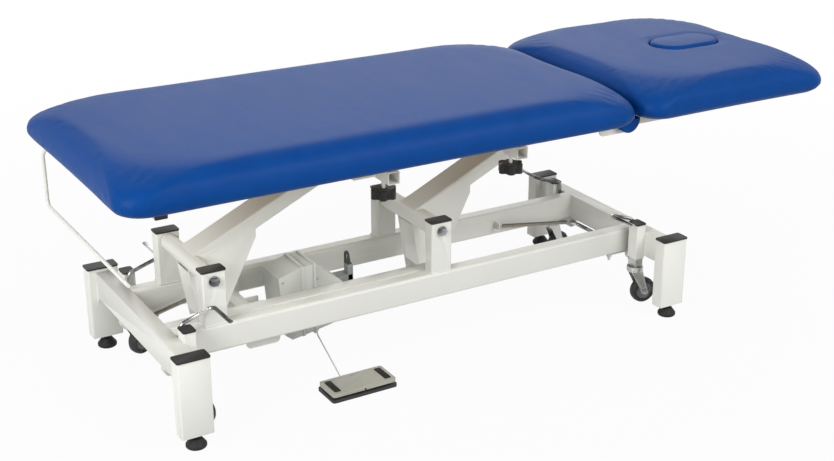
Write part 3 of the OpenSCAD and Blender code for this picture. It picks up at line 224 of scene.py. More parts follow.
# %% Plastics and rubber
def make_plastic(name, color, roughness, grain=900.0, depth=0.00025, fade=0.85):
    made = Finish(name, color, roughness, specular_ior_level=0.3)
    texture = made.cells(grain)
    patches = made.noise(14.0, 4.0)
    made.set("Base Color", made.mix(patches, tuple(c * fade for c in color), color))
    made.set("Roughness", (patches - 0.5) * 0.16 + roughness)
    made.bump(texture, depth, 0.6)
    return made.material


# %% [markdown]
# Upholstery vinyl has a leather grain under a thin clear coat, and its highlights break up on it.
# Cells give the grain, the edges of larger cells give its creases, and a slow ripple gives the
# soft unevenness of the foam below. The boards are plywood, whose rings are noise that is drawn
# out along the sheet.


# %% Vinyl and wood
def make_vinyl():
    made = Finish("blue_vinyl", (0.001, 0.052, 0.245), 0.4, specular_ior_level=0.08, coat_roughness=0.3)
    grain = made.cells(620.0)
    creases = made.cells(240.0, "DISTANCE_TO_EDGE")
    ripple = made.noise(20.0, 2.0, (1.0, 0.35, 1.0))
    made.set("Base Color", made.mix((ripple - 0.3) * 1.2, (0.0008, 0.048, 0.228), (0.0012, 0.058, 0.265)))
    made.set("Roughness", grain * 0.16 + ripple * 0.12 + 0.3)
    made.set("Coat Weight", ripple * 0.03)
    made.bump(grain * 0.5 + creases * 1.2 + ripple * 2.2, 0.0006, 0.55)
    return made.material


def make_plywood():
    made = Finish("plywood", (0.5, 0.36, 0.22), 0.62)
    rings = made.noise(9.0, 5.0, (0.25, 3.0, 12.0))
    fibre = made.noise(160.0, 3.0, (0.08, 1.0, 1.0))
    made.set("Base Color", made.mix(rings, (0.36, 0.23, 0.12), (0.62, 0.46, 0.29)))
    made.bump(fibre, 0.0004, 0.5)
    return made.material


# %% [markdown]
# All finishes are made once and shared. Their colours are those that the parts show in plain
# light, so the render needs no help from coloured lamps; only the chrome's dark stripes are painted reflection.

# %% The palette
POWDER = make_powder_coat()
ZINC = make_zinc("bright_zinc", (0.56, 0.56, 0.55), 0.3)
SPRING = make_zinc("spring_zinc", (0.36, 0.33, 0.28), 0.36)
CHROME = make_chrome()
CAP = make_plastic("charcoal_cap", (0.026, 0.024, 0.023), 0.55, 700.0, 0.0004)
RUBBER = make_plastic("black_rubber", (0.014, 0.014, 0.015), 0.6, 500.0, 0.0003)
TYRE = make_plastic("tyre_rubber", (0.03, 0.03, 0.032), 0.55, 800.0)
HUB = make_plastic("hub_grey", (0.26, 0.26, 0.27), 0.45, 900.0)
BLOCK = make_plastic("bearing_white", (0.72, 0.72, 0.69), 0.45)
HOUSING = make_plastic("housing_grey", (0.66, 0.68, 0.63), 0.42, 1100.0, 0.0002, 0.92)
PLUG = make_plastic("plug_grey", (0.30, 0.32, 0.31), 0.5)
LEAD = make_plastic("lead_dark", (0.07, 0.07, 0.072), 0.5)
KNOB = make_plastic("knob_black", (0.012, 0.012, 0.012), 0.33)
TRAY = make_plastic("tray_black", (0.035, 0.035, 0.036), 0.5)
PAD = make_plastic("pad_black", (0.03, 0.03, 0.03), 0.6, 330.0, 0.0008)
COVER = make_plastic("champagne_cover", (0.44, 0.435, 0.365), 0.36, 1200.0, 0.0002, 0.8)
SHEATH = make_plastic("pale_sheath", (0.62, 0.62, 0.59), 0.5)
MOTOR = make_plastic("motor_can", (0.07, 0.07, 0.075), 0.5)
VINYL = make_vinyl()
WOOD = make_plywood()
print("finishes:", len(bpy.data.materials))

# %% [markdown]
# ## Hands for edit mode
#
# Every new piece starts as a primitive and is shaped with the same operators that a person would
# use. Operators act on what is selected, so each step first deselects everything and then picks
# faces, edges or corners by their place or their direction.


# %% Selecting and shaping
def select_only(*objects):
    bpy.ops.object.select_all(action="DESELECT")
    for chosen in objects:
        chosen.select_set(True)
    bpy.context.view_layer.objects.active = objects[0]


@contextmanager
def editing(piece):
    select_only(piece)
    bpy.ops.object.mode_set(mode="EDIT")
    yield piece
    bpy.ops.object.mode_set(mode="OBJECT")


def pick(piece, kind, test):
    """Selects the faces, edges or corners whose middle and direction pass the test."""
    bpy.ops.mesh.select_all(action="DESELECT")
    bpy.ops.mesh.select_mode(type=kind)
    mesh = bmesh.from_edit_mesh(piece.data)
    if kind == "FACE":
        for face in mesh.faces:
            face.select_set(bool(test(face.calc_center_median(), face.normal)))
    elif kind == "EDGE":
        for edge in mesh.edges:
            a, b = edge.verts[0].co, edge.verts[1].co
            edge.select_set(bool(test((a + b) / 2, (b - a).normalized())))
    else:
        for corner in mesh.verts:
            corner.select_set(bool(test(corner.co, corner.normal)))
    mesh.select_flush_mode()
    bmesh.update_edit_mesh(piece.data)


def settle(piece, name):
    """Puts the piece's place into its mesh and leaves its object at the origin."""
    select_only(piece)
    bpy.ops.object.transform_apply(location=True, rotation=True, scale=True)
    piece.name = piece.data.name = name
    return piece


def block(name, low, high):
    low, high = Vector(low), Vector(high)
    bpy.ops.mesh.primitive_cube_add(size=1, location=(low + high) / 2, scale=high - low)
    return settle(bpy.context.object, name)


def drum(name, start, end, radius, sides=48, end_radius=None):
    """A closed cylinder or cone from one point to another."""
    start, end = Vector(start), Vector(end)
    turn = (end - start).to_track_quat("Z", "Y").to_euler()
    bpy.ops.mesh.primitive_cone_add(vertices=sides, radius1=radius, depth=(end - start).length,
                                    radius2=radius if end_radius is None else end_radius,
                                    location=(start + end) / 2, rotation=turn)
    return settle(bpy.context.object, name)


def soften(piece, width, segments=2, angle=30):
    """Bevels the sharp edges and shades the rest smooth."""
    select_only(piece)
    bevel = piece.modifiers.new("soft edges", "BEVEL")
    bevel.width, bevel.segments = width, segments
    bevel.limit_method, bevel.angle_limit = "ANGLE", math.radians(angle)
    bevel.harden_normals = True
    bpy.ops.object.modifier_apply(modifier=bevel.name)
    bpy.ops.object.shade_smooth_by_angle(angle=math.radians(angle + 5))
    return piece


def joined(name, *parts):
    select_only(*parts)
    bpy.ops.object.join()
    bpy.context.object.name = bpy.context.object.data.name = name
    return bpy.context.object


def dressed(piece, body, material, slot, *nodes):
    """Gives a finished piece its finish and its body, and hides the solids that it stands for."""
    if material is not None:
        piece.data.materials.clear()
        piece.data.materials.append(material)
    if body is not None:
        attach(piece, body)
    if nodes:
        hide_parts(*nodes)
    return piece


def body_of(node):
    return next(b for b, members in frame["record"]["behaviour"]["bodies"].items() if node in members)


def slot_of(node):
    return next(s["material_slot"] for s in frame["record"]["subparts"] if s["node"] == node)


# %% [markdown]
# ## The lead of the foot switch
#
# A thin round lead leaves the gear housing through a gland and drops to the back of the foot
# switch. Both of its ends show, so its length is simply the length of that route. A curve with a
# round bevel is the natural way to model it, because the curve itself is the centreline.

# %% Foot switch lead
LEAD_DIAMETER = 3.5 * MM
LEAD_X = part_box("foot_switch_cord")[1].x - LEAD_DIAMETER / 2
LEAD_ROUTE = [(LEAD_X + dx * MM, y * MM, z * MM) for dx, y, z in (
    (0, -42, 79), (0, -42, 74), (0, -44, 70), (-1, -48.5, 67), (-2, -62.6, 61.6), (-3, -76.8, 56.2),
    (-4, -90.9, 50.8), (-5, -105.1, 45.4), (-6, -119.2, 40), (-7, -133.4, 34.6), (-8, -147.6, 29.2),
    (-9, -161.7, 23.8), (-10, -175.9, 18.4), (-11, -190, 13), (-11.6, -198, 9), (-12, -205, 5.5))]


def round_line(name, points, radius, sides=5):
    """A smooth round tube along points, as a curve."""
    curve = bpy.data.curves.new(name, "CURVE")
    curve.dimensions = "3D"
    curve.bevel_depth, curve.bevel_resolution, curve.use_fill_caps = radius, sides, True
    spline = curve.splines.new("POLY")
    spline.points.add(len(points) - 1)
    for place, point in zip(spline.points, points):
        place.co = (*point, 1.0)
    spline.use_smooth = True
    made = bpy.data.objects.new(name, curve)
    bpy.context.scene.collection.objects.link(made)
    return made


lead_length = sum(math.dist(a, b) for a, b in zip(LEAD_ROUTE, LEAD_ROUTE[1:]))
switch_lead = dressed(round_line("switch_lead", LEAD_ROUTE, LEAD_DIAMETER / 2), "base", SHEATH, "cord_sheath",
                      "foot_switch_cord")
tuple(LEAD_ROUTE[0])
print("foot switch lead:", round(lead_length, 4), "m")

# %% [markdown]
# ## Steel that was cut, welded and coated
#
# The solids of the frame have the right shape but knife-sharp edges, and nothing real is that
# sharp. Each one is copied, its loose triangles are merged and flat regions are cleaned up. Most
# then get a narrow bevel on every edge, so that it catches a thin highlight, and the rest are only
# shaded smooth. The copy stands for the solid, which stays in the model for collision.


# %% A softened copy of a solid
def softened(node, material, width=1.0 * MM, segments=2, angle=30):
    source = frame["nodes"][node]
    piece = bpy.data.objects.new(node + "_finish", source.data.copy())
    bpy.context.scene.collection.objects.link(piece)
    with editing(piece):
        bpy.ops.mesh.select_all(action="SELECT")
        bpy.ops.mesh.remove_doubles(threshold=0.01 * MM)
        bpy.ops.mesh.dissolve_limited(angle_limit=math.radians(0.5))
    if width:
        soften(piece, width, segments, angle)
    else:
        select_only(piece)
        bpy.ops.object.shade_smooth_by_angle(angle=math.radians(angle))
    return dressed(piece, body_of(node), material, slot_of(node), node)


SOFTENED = [
    (POWDER, 1.0, ["side_rails", "end_beams", "legs", "pivot_posts", "caster_sleeves", "actuator_mount",
                   "lift_arm_foot", "lift_arm_head", "frame_rails", "cross_tubes", "frame_brackets",
                   "accessory_sockets", "head_frame", "head_hinges"]),
    (POWDER, 0.0, ["pivot_tube_foot", "pivot_tube_head", "paper_roll_bar"]),
    (CAP, 1.3, ["end_caps", "frame_caps"]),
    (CHROME, 0.8, ["pivot_bolts"]),
    (CHROME, 0.0, ["pedal_shaft_foot", "pedal_shaft_head"]),
    (ZINC, 0.6, ["upper_pins", "rod_pin", "actuator_rod"] + [f"caster_stem_{i}" for i in (1, 2, 3, 4)]),
    (BLOCK, 0.8, ["shaft_hangers"]),
    (WOOD, 0.8, ["main_board", "head_board"]),
    (MOTOR, 1.0, ["lift_motor"]),
    (HOUSING, 1.0, ["guide_tube"]),
    (HOUSING, 2.2, ["motor_housing", "gear_housing"]),
    (TRAY, 0.8, ["foot_switch_base"]),
    (COVER, 1.4, ["foot_switch_rocker"]),
    (KNOB, 2.4, ["socket_knob_foot", "socket_knob_head"]),
    (RUBBER, 1.0, [f"levelling_foot_{i}" for i in (1, 2, 3, 4)]),
    (ZINC, 0.7, [f"caster_fork_{i}" for i in (1, 2, 3, 4)]),
    (TYRE, 0.0, [f"caster_wheel_{i}" for i in (1, 2, 3, 4)]),
]
copies = {}
for material, width, nodes in SOFTENED:
    for node in nodes:
        copies[node] = softened(node, material, width * MM)
print("softened solids:", len(copies))

# %% [markdown]
# ## Two finishes on one piece
#
# A tyre and its hub, a knob and its stud or a cover and its rubber pads are one solid each in the
# model. The second finish goes to the faces whose middle lies in the right place.


# %% Second finishes
def refinish(piece, material, test):
    piece.data.materials.append(material)
    for face in piece.data.polygons:
        if test(face.center, face.normal):
            face.material_index = len(piece.data.materials) - 1


def across(place, middle):
    return math.hypot(place.x - middle.x, place.y - middle.y)


CORNERS = ("foot_near", "foot_far", "head_near", "head_far")
JOINTS = {joint["name"]: joint for joint in frame["record"]["behaviour"]["joints"]}
WHEELS = [(Vector(JOINTS["wheel_" + corner]["pos_m"]), Vector(JOINTS["wheel_" + corner]["axis"]).normalized())
          for corner in CORNERS]
HUB_RADIUS = 24.5 * MM
KNOB_HEIGHT = 25 * MM
PAD_RISE = 0.95 * MM
for i, (hub, axle) in enumerate(WHEELS):
    refinish(copies[f"caster_wheel_{i + 1}"], HUB,
             lambda place, _: (place - hub - axle * (place - hub).dot(axle)).length < HUB_RADIUS)
for node in ("socket_knob_foot", "socket_knob_head"):
    low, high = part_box(node)
    refinish(copies[node], ZINC, lambda place, _: place.z > low.z + KNOB_HEIGHT)
SWITCH_LOW, SWITCH_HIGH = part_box("foot_switch_rocker")
refinish(copies["foot_switch_rocker"], PAD, lambda place, _: place.z > SWITCH_HIGH.z - PAD_RISE)
print("second finishes on", sum(len(piece.data.materials) > 1 for piece in copies.values()), "pieces")

# %% [markdown]
# ## Small hardware
#
# Nuts on the axles, screws in the housing and ribs on the switch pads are what tell the eye how
# big a thing is. Each one is a primitive that is inset, extruded or bevelled in edit mode.


# %% Nuts, screws and ribs
def cap_screw(name, place, direction, radius, height, material=ZINC):
    """A screw head with a sunk hexagon, standing on a face at the place."""
    direction = Vector(direction).normalized()
    piece = drum(name, place, Vector(place) + direction * height, radius, 24)
    with editing(piece):
        pick(piece, "FACE", lambda _, normal: normal.dot(direction) > 0.9)
        bpy.ops.mesh.inset(thickness=radius * 0.45, depth=0)
        bpy.ops.mesh.inset(thickness=radius * 0.02, depth=-height * 0.5)
    soften(piece, radius * 0.1, 2, 40)
    piece.data.materials.append(material)
    return piece


def hex_nut(name, place, direction, radius, height, material=ZINC):
    """A hexagon nut with chamfered corners and the rounded end of its bolt."""
    place, direction = Vector(place), Vector(direction).normalized()
    nut = drum(name, place, place + direction * height, radius, 6)
    soften(nut, radius * 0.09, 2, 25)
    end = drum(name + "_end", place, place + direction * height * 1.35, radius * 0.5, 20)
    soften(end, radius * 0.12, 2, 40)
    piece = joined(name, nut, end)
    piece.data.materials.append(material)
    return piece


def fitted(piece, body):
    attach(piece, body)
    return piece


# %% [markdown]
# A caster fork holds its axle between two nuts, its wheel has a raised ring on each side of the
# hub, and the ring of the ball race shows round its swivel. A torus is the ready form for rings,
# and all of them are placed by the joints of the model.

# %% Caster hardware
AXLE_NUT_OUT = 20.5 * MM
HUB_RING_OUT = 7.2 * MM
RACE_HEIGHT = 111.5 * MM
for i, (hub, axle) in enumerate(WHEELS):
    nuts = [hex_nut(f"axle_nut_{i}_{side}", hub + axle * side * AXLE_NUT_OUT, axle * side, 6.5 * MM, 4.5 * MM)
            for side in (-1, 1)]
    fitted(joined(f"axle_nuts_{i + 1}", *nuts), f"fork_{i + 1}")
    rings = []
    for side in (-1, 1):
        bpy.ops.mesh.primitive_torus_add(location=hub + axle * side * HUB_RING_OUT, major_radius=17 * MM,
                                         minor_radius=1.3 * MM, major_segments=48, minor_segments=10,
                                         rotation=axle.to_track_quat("Z", "Y").to_euler())
        rings.append(settle(bpy.context.object, f"hub_ring_{i}_{side}"))
    ring = joined(f"hub_rings_{i + 1}", *rings)
    bpy.ops.object.shade_smooth()
    ring.data.materials.append(HUB)
    fitted(ring, f"wheel_{i + 1}")
    swivel = Vector(JOINTS["swivel_" + CORNERS[i]]["pos_m"])
    bpy.ops.mesh.primitive_torus_add(location=(swivel.x, swivel.y, RACE_HEIGHT), major_radius=22.4 * MM,
                                     minor_radius=1.6 * MM, major_segments=56, minor_segments=10)
    race = settle(bpy.context.object, f"ball_race_{i + 1}")
    bpy.ops.object.shade_smooth()
    race.data.materials.append(ZINC)
    fitted(race, f"fork_{i + 1}")
print("hardware on", len(WHEELS), "casters")

# %% [markdown]
# The two halves of the actuator housing are held by screws on both sides. The rubber pads of the
# foot switch have ribs across them so that a shoe finds grip, and two screws hold its cover.

# %% Housing and switch hardware
SEAM_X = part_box("motor_housing")[1].x
NEAR_FACE, FAR_FACE = -50 * MM, 50 * MM
screws = []
for number, (dx, z) in enumerate(((-58, 0.112), (-58, 0.236), (24, 0.108), (46, 0.126), (40, 0.226))):
    for face in (NEAR_FACE, FAR_FACE):
        screws.append(cap_screw(f"housing_screw_{number}_{face > 0}", (SEAM_X + dx * MM, face, z),
                                (0, math.copysign(1, face), 0), 3.6 * MM, 1.4 * MM))
fitted(joined("housing_screws", *screws), "base")

SWITCH_MIDDLE = (SWITCH_LOW + SWITCH_HIGH) / 2
PAD_INSET = 18 * MM
RIB_PITCH = 2.4 * MM
RIB_REACH = 29 * MM
ribs = []
for side in (-1, 1):
    middle_x = SWITCH_MIDDLE.x + side * ((SWITCH_HIGH.x - SWITCH_LOW.x) / 2 - PAD_INSET)
    for step in range(-3, 4):
        x = middle_x + step * RIB_PITCH
        ribs.append(block(f"rib_{side}_{step}",
                          (x - 0.7 * MM, SWITCH_MIDDLE.y - RIB_REACH, SWITCH_HIGH.z - 0.1 * MM),
                          (x + 0.7 * MM, SWITCH_MIDDLE.y + RIB_REACH, SWITCH_HIGH.z + 0.7 * MM)))
ribs = soften(joined("switch_ribs", *ribs), 0.3 * MM, 2)
ribs.data.materials.append(PAD)
fitted(ribs, "rocker")
SWITCH_REACH = (SWITCH_HIGH.y - SWITCH_LOW.y) / 2 - 12 * MM
pins = [cap_screw(f"switch_screw_{side}", (SWITCH_MIDDLE.x, SWITCH_MIDDLE.y + side * SWITCH_REACH, 23 * MM),
                  (0, 0, 1), 3.6 * MM, 0.9 * MM) for side in (-1, 1)]
fitted(joined("switch_screws", *pins), "rocker")
print("screws:", len(screws), "in the housing and", len(pins), "in the switch")

# %% [markdown]
# ## Treads of the pedal levers
#
# The pedal levers are bent from round bar, and the tread at the end of each is pressed a little
# flat. Rings are cut into the tread first, because a long straight bar has corners only at its
# ends. They then move towards its middle height and spread a little sideways, as the metal does in
# the press.


# %% Treads
def move_corners(piece, rule):
    """Moves each corner of a mesh to where the rule puts it."""
    for corner in piece.data.vertices:
        corner.co = rule(corner.co.copy())
    piece.data.update()


def pressed_tread(piece, reach, thin, wide):
    """Presses the last length of both levers to a share of its height and spreads it."""
    corners = [corner.co.copy() for corner in piece.data.vertices]
    for side in (-1, 1):
        tip = max(place.y * side for place in corners)
        end = [place for place in corners if place.y * side > tip - 4 * MM]
        middle = sum(end, Vector()) / len(end)

        def rule(place):
            share = min(1, max(0, (place.y * side - tip + reach) / (reach * 0.4)))
            if share > 0 and (place - middle).length < reach * 1.3:
                place.z = middle.z + (place.z - middle.z) * (1 - share * (1 - thin))
                place.x = middle.x + (place.x - middle.x) * (1 + share * (wide - 1))
            return place

        move_corners(piece, rule)


def more_rings(piece, reach):
    """Cuts a few rings into the tread of each lever, so that it can change shape."""
    tips = [max(c.co.y * side for c in piece.data.vertices) * side for side in (-1, 1)]
    with editing(piece):
        for tip in tips:
            for step in (0.2, 0.45, 0.7, 1.0):
                bpy.ops.mesh.select_all(action="SELECT")
                bpy.ops.mesh.bisect(plane_co=(0, tip - math.copysign(reach * step, tip), 0), plane_no=(0, 1, 0))


TREAD = 70 * MM
for node in ("pedal_shaft_foot", "pedal_shaft_head"):
    more_rings(copies[node], TREAD)
    pressed_tread(copies[node], TREAD, 0.75, 1.25)
    print(node, "has", len(copies[node].data.polygons), "faces")

# %% [markdown]
# ## Springs
#
# A close-wound spring is one long helix. The curve runs from the tab on the rail to the arm of the
# pedal shaft, swells to its full radius after the hook and shrinks again before the other one.

# %% Return springs
SPRING_WIRE = 1.1 * MM
SPRING_RADIUS = 4.6 * MM
SPRING_TURN_POINTS = 14
SPRING_TAB_HEIGHT = 184 * MM
SPRING_ARM_HEIGHT = 144 * MM


def close_wound(name, start, end, hook=14 * MM):
    start, end = Vector(start), Vector(end)
    along = (end - start).normalized()
    side = Vector((0, 1, 0))
    up = along.cross(side)
    length = (end - start).length - 2 * hook
    turns = int(length / (SPRING_WIRE * 2.3))
    points = [start, start + along * hook * 0.6]
    for i in range(turns * SPRING_TURN_POINTS + 1):
        share = i / (turns * SPRING_TURN_POINTS)
        swell = min(1, min(share, 1 - share) * turns)
        turn = 2 * math.pi * i / SPRING_TURN_POINTS
        points.append(start + along * (hook + length * share)
                      + (side * math.sin(turn) + up * math.cos(turn)) * SPRING_RADIUS * swell)
    points += [end - along * hook * 0.6, end]
    spring = round_line(name, points, SPRING_WIRE, 1)
    select_only(spring)
    bpy.ops.object.convert(target="MESH")
    return bpy.context.object


for end_name, side in (("foot", -1), ("head", 1)):
    low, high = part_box(f"return_spring_{end_name}")
    middle_y = (low.y + high.y) / 2
    inner, outer = ((low.x, high.x) if side > 0 else (high.x, low.x))
    tab = Vector((inner, middle_y, SPRING_TAB_HEIGHT))
    arm = Vector((outer, middle_y, SPRING_ARM_HEIGHT))
    spring = dressed(close_wound(f"spring_{end_name}", tab, arm), None, SPRING, "spring_steel",
                     f"return_spring_{end_name}")
    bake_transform(spring)
    print(spring.name, len(spring.data.polygons), "faces")

# %% [markdown]
# ## Plug and lead of the motor
#
# A grey plug stands beside the housing, and its dark lead leaves the top in a tight loop and goes
# back down. The loop keeps its shape, because the lead is short and stiff.

# %% Plug and lead
PLUG_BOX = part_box("motor_plug")
LOOP_RADIUS = 9 * MM
LEAD_THICK = 7 * MM
PLUG_HALF = (8 * MM, 11 * MM)
PLUG_FOOT = 176 * MM
STUB_TOP = 200 * MM
STUB_BACK = 23.5 * MM
plug_x = PLUG_BOX[1].x - PLUG_HALF[0]
plug_top = 224 * MM
stub = block("plug_stub", (PLUG_BOX[0].x, -PLUG_HALF[1], PLUG_FOOT), (PLUG_BOX[1].x, STUB_BACK, STUB_TOP))
tower = block("plug_tower", (plug_x - PLUG_HALF[0], -PLUG_HALF[1], PLUG_FOOT),
              (plug_x + PLUG_HALF[0], PLUG_HALF[1], plug_top))
with editing(tower):
    pick(tower, "FACE", lambda _, normal: normal.z > 0.9)
    for share, rise in ((0.82, 2), (0.9, 3), (0.72, 3)):
        bpy.ops.mesh.extrude_region_move(TRANSFORM_OT_translate={"value": (0, 0, rise * MM)})
        bpy.ops.transform.resize(value=(share, share, 1), center_override=(plug_x, 0, plug_top))
soften(stub, 2.0 * MM, 3)
soften(tower, 1.6 * MM, 3)
boots = [drum(f"boot_{step}", (plug_x, 0, plug_top + (4 + 4 * step) * MM),
              (plug_x, 0, plug_top + (6.6 + 4 * step) * MM), (5.6 - 0.35 * step) * MM, 24)
         for step in range(4)]
for boot in boots:
    soften(boot, 0.6 * MM, 2)
plug_body = dressed(joined("plug_body", tower, stub, *boots), "base", PLUG, "plug_plastic", "motor_plug")
refinish(plug_body, LEAD, lambda place, _: place.z > plug_top + 3.5 * MM)
loop = [(plug_x, 0, plug_top), (plug_x, 0, plug_top + 12 * MM)]
loop += [(plug_x, LOOP_RADIUS * (1 - math.cos(math.radians(a))),
          plug_top + 23 * MM + LOOP_RADIUS * math.sin(math.radians(a))) for a in range(0, 181, 12)]
loop += [(plug_x, 2 * LOOP_RADIUS, plug_top + 10 * MM), (plug_x, 2 * LOOP_RADIUS, plug_top - 5 * MM),
         (plug_x, 2 * LOOP_RADIUS, STUB_TOP)]
motor_lead = dressed(round_line("motor_lead", loop, LEAD_THICK / 2, 4), "base", LEAD, "plug_plastic",
                     "motor_plug")
loop_length = sum(math.dist(a, b) for a, b in zip(loop, loop[1:]))
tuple(loop[0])
print("motor lead:", round(loop_length, 4), "m")

# %% [markdown]
# ## Weld beads
#
# Posts and sleeves are welded on, and a small uneven bead under the paint shows it. The bead is a
# tube along the joint whose points wander by a fraction of a millimetre.


# %% Weld beads
def weld(name, corners, body, radius=2.0 * MM, closed=True):
    corners = [Vector(c) for c in corners]
    points = []
    runs = zip(corners, corners[1:] + corners[:1]) if closed else zip(corners, corners[1:])
    for a, b in runs:
        steps = max(2, int((b - a).length / (4 * MM)))
        points += [a.lerp(b, i / steps) for i in range(steps)]
    points = [q + Vector(noise.noise_vector(q * 240)) * 0.35 * MM for q in points]
    bead = round_line(name, points + points[:1] if closed else points, radius, 2)
    select_only(bead)
    bpy.ops.object.convert(target="MESH")
    return dressed(bpy.context.object, body, POWDER, "frame_paint")


def ring_at(x, y, half_x, half_y, z):
    return [(x - half_x, y - half_y, z), (x + half_x, y - half_y, z), (x + half_x, y + half_y, z),
            (x - half_x, y + half_y, z)]


BASE_X = sum(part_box("legs"), Vector()).x / 2
RAIL_TOP = 222 * MM
RAIL_Y = 147 * MM
POSTS_X = (-579 * MM, 49 * MM)
POST_HALF = (30 * MM, 18 * MM)
BEAM_FACE_X = 683.5 * MM
SLEEVE_SIDES_Y = (183 * MM, 221 * MM)
SLEEVE_BOTTOM = 152 * MM
for number, (x, side) in enumerate((x, side) for x in POSTS_X for side in (-1, 1)):
    weld(f"post_weld_{number}", ring_at(BASE_X + x, side * RAIL_Y, *POST_HALF, RAIL_TOP), "base")
for number, (end, side) in enumerate((end, side) for end in (-1, 1) for side in (-1, 1)):
    x = BASE_X + end * BEAM_FACE_X
    for label, y in zip(("", "out_"), SLEEVE_SIDES_Y):
        weld(f"sleeve_weld_{label}{number}", [(x, side * y, SLEEVE_BOTTOM), (x, side * y, RAIL_TOP)], "base",
             1.6 * MM, False)
print("weld beads at", len(POSTS_X) * 2, "posts and 4 sleeves")

# %% [markdown]
# ## The padding
#
# Each section is foam on a board under stretched vinyl, fullest a quarter of the way up, with its
# upper corners pulled far down. The form comes from the model's own solid. A voxel remesh gives it
# an even skin, a few rounds of smoothing take the facets out, and a short cloth run with pressure
# lets the skin settle the way vinyl does. The hole and the underside are held meanwhile.

# %% Padding
PAD_VOXEL = {"main_cushion": 10.2 * MM, "head_cushion": 7.5 * MM}
PAD_SWELL = 2.5 * MM
PAD_PRESSURE = 3.0
PAD_FRAMES = 14
PLUG_LOW, PLUG_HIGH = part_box("face_plug")
HOLE_MIDDLE = (PLUG_LOW + PLUG_HIGH) / 2
HOLE_GAP = 2 * MM
HOLE_RIM = 14 * MM
HELD_HEIGHT = 12 * MM


def near_hole(place, margin):
    half = (PLUG_HIGH - PLUG_LOW) / 2
    straight = half.x - half.y
    dx = max(0, abs(place.x - HOLE_MIDDLE.x) - straight)
    return math.hypot(dx, place.y - HOLE_MIDDLE.y) < half.y + HOLE_GAP + margin


def padding_form(name, node):
    """The solid's own form under an even skin, a little smaller so that it can swell."""
    piece = bpy.data.objects.new(name, frame["nodes"][node].data.copy())
    bpy.context.scene.collection.objects.link(piece)
    with editing(piece):
        bpy.ops.mesh.select_all(action="SELECT")
        bpy.ops.mesh.remove_doubles(threshold=0.01 * MM)
    select_only(piece)
    piece.data.remesh_voxel_size = PAD_VOXEL[node]
    bpy.ops.object.voxel_remesh()
    smooth = piece.modifiers.new("even skin", "SMOOTH")
    smooth.factor, smooth.iterations = 0.5, 4
    bpy.ops.object.modifier_apply(modifier=smooth.name)
    with editing(piece):
        bpy.ops.mesh.select_all(action="SELECT")
        bpy.ops.transform.shrink_fatten(value=-PAD_SWELL * 0.4)
    return piece


def blown_up(piece, pressure, frames, cap):
    """Lets the skin swell as cloth for a few frames, never further than the cap."""
    before = [corner.co.copy() for corner in piece.data.vertices]
    floor_height = min(co.z for co in before) + HELD_HEIGHT
    held = piece.vertex_groups.new(name="held")
    held.add([i for i, co in enumerate(before) if co.z < floor_height or near_hole(co, HOLE_RIM)], 1.0,
             "REPLACE")
    cloth = piece.modifiers.new("skin", "CLOTH")
    settings = cloth.settings
    settings.quality, settings.mass, settings.time_scale = 4, 0.4, 0.6
    settings.tension_stiffness = settings.compression_stiffness = settings.shear_stiffness = 12
    settings.bending_stiffness = 2.0
    settings.use_pressure, settings.uniform_pressure_force = True, pressure
    settings.vertex_group_mass = held.name
    settings.effector_weights.gravity = 0
    cloth.point_cache.frame_start, cloth.point_cache.frame_end = 1, frames
    for step in range(1, frames + 1):
        bpy.context.scene.frame_set(step)
    shape = piece.evaluated_get(bpy.context.evaluated_depsgraph_get()).data
    after = [corner.co.copy() for corner in shape.vertices]
    piece.modifiers.remove(cloth)
    piece.vertex_groups.clear()
    bpy.context.scene.frame_set(1)
    farthest = 0
    for corner, old, new in zip(piece.data.vertices, before, after):
        step = new - old
        farthest = max(farthest, step.length)
        corner.co = old + step * (min(cap, step.length) / max(step.length, 1e-9))
    print(piece.name, "skin moved up to", round(farthest / MM, 1), "mm, kept to", round(cap / MM, 1))
    return piece


def padded_section(name, node):
    piece = padding_form(name, node)
    blown_up(piece, PAD_PRESSURE, PAD_FRAMES, PAD_SWELL)
    select_only(piece)
    finer = piece.modifiers.new("finer skin", "SUBSURF")
    finer.levels = finer.render_levels = 1
    bpy.ops.object.modifier_apply(modifier=finer.name)
    bpy.ops.object.shade_smooth()
    return piece


main_pad = dressed(padded_section("main_padding", "main_cushion"), "top", VINYL, "vinyl", "main_cushion")
head_pad = dressed(padded_section("head_padding", "head_cushion"), "head", VINYL, "vinyl", "head_cushion")

# %% [markdown]
# ## The plug of the face hole
#
# A long oval hole goes right through the head section, and a padded plug of the same shape fills
# it. An oval is a cylinder whose two halves are pulled apart, so the plug starts as a cylinder.
# Its top edge is rolled, and its bottom edge is bevelled a little.

# %% Face hole plug
def oval(name, middle, length, width, low, high, sides=64):
    """An upright oval block: a cylinder whose halves are moved apart along the table."""
    piece = drum(name, (middle.x, middle.y, low), (middle.x, middle.y, high), width / 2, sides)
    with editing(piece):
        for side in (-1, 1):
            pick(piece, "VERT", lambda place, _: side * (place.x - middle.x) > 0.1 * MM)
            bpy.ops.transform.translate(value=(side * (length - width) / 2, 0, 0))
    return piece


plug_size = PLUG_HIGH - PLUG_LOW
plug = oval("face_plug_padding", HOLE_MIDDLE, plug_size.x, plug_size.y, PLUG_LOW.z, PLUG_HIGH.z)
with editing(plug):
    pick(plug, "EDGE", lambda middle, along: middle.z > PLUG_HIGH.z - MM and abs(along.z) < 0.1)
    bpy.ops.mesh.bevel(offset=11 * MM, segments=5, affect="EDGES")
    pick(plug, "EDGE", lambda middle, along: middle.z < PLUG_LOW.z + MM and abs(along.z) < 0.1)
    bpy.ops.mesh.bevel(offset=3 * MM, segments=2, affect="EDGES")
select_only(plug)
bpy.ops.object.shade_smooth_by_angle(angle=math.radians(50))
dressed(plug, "plug", VINYL, "vinyl", "face_plug")
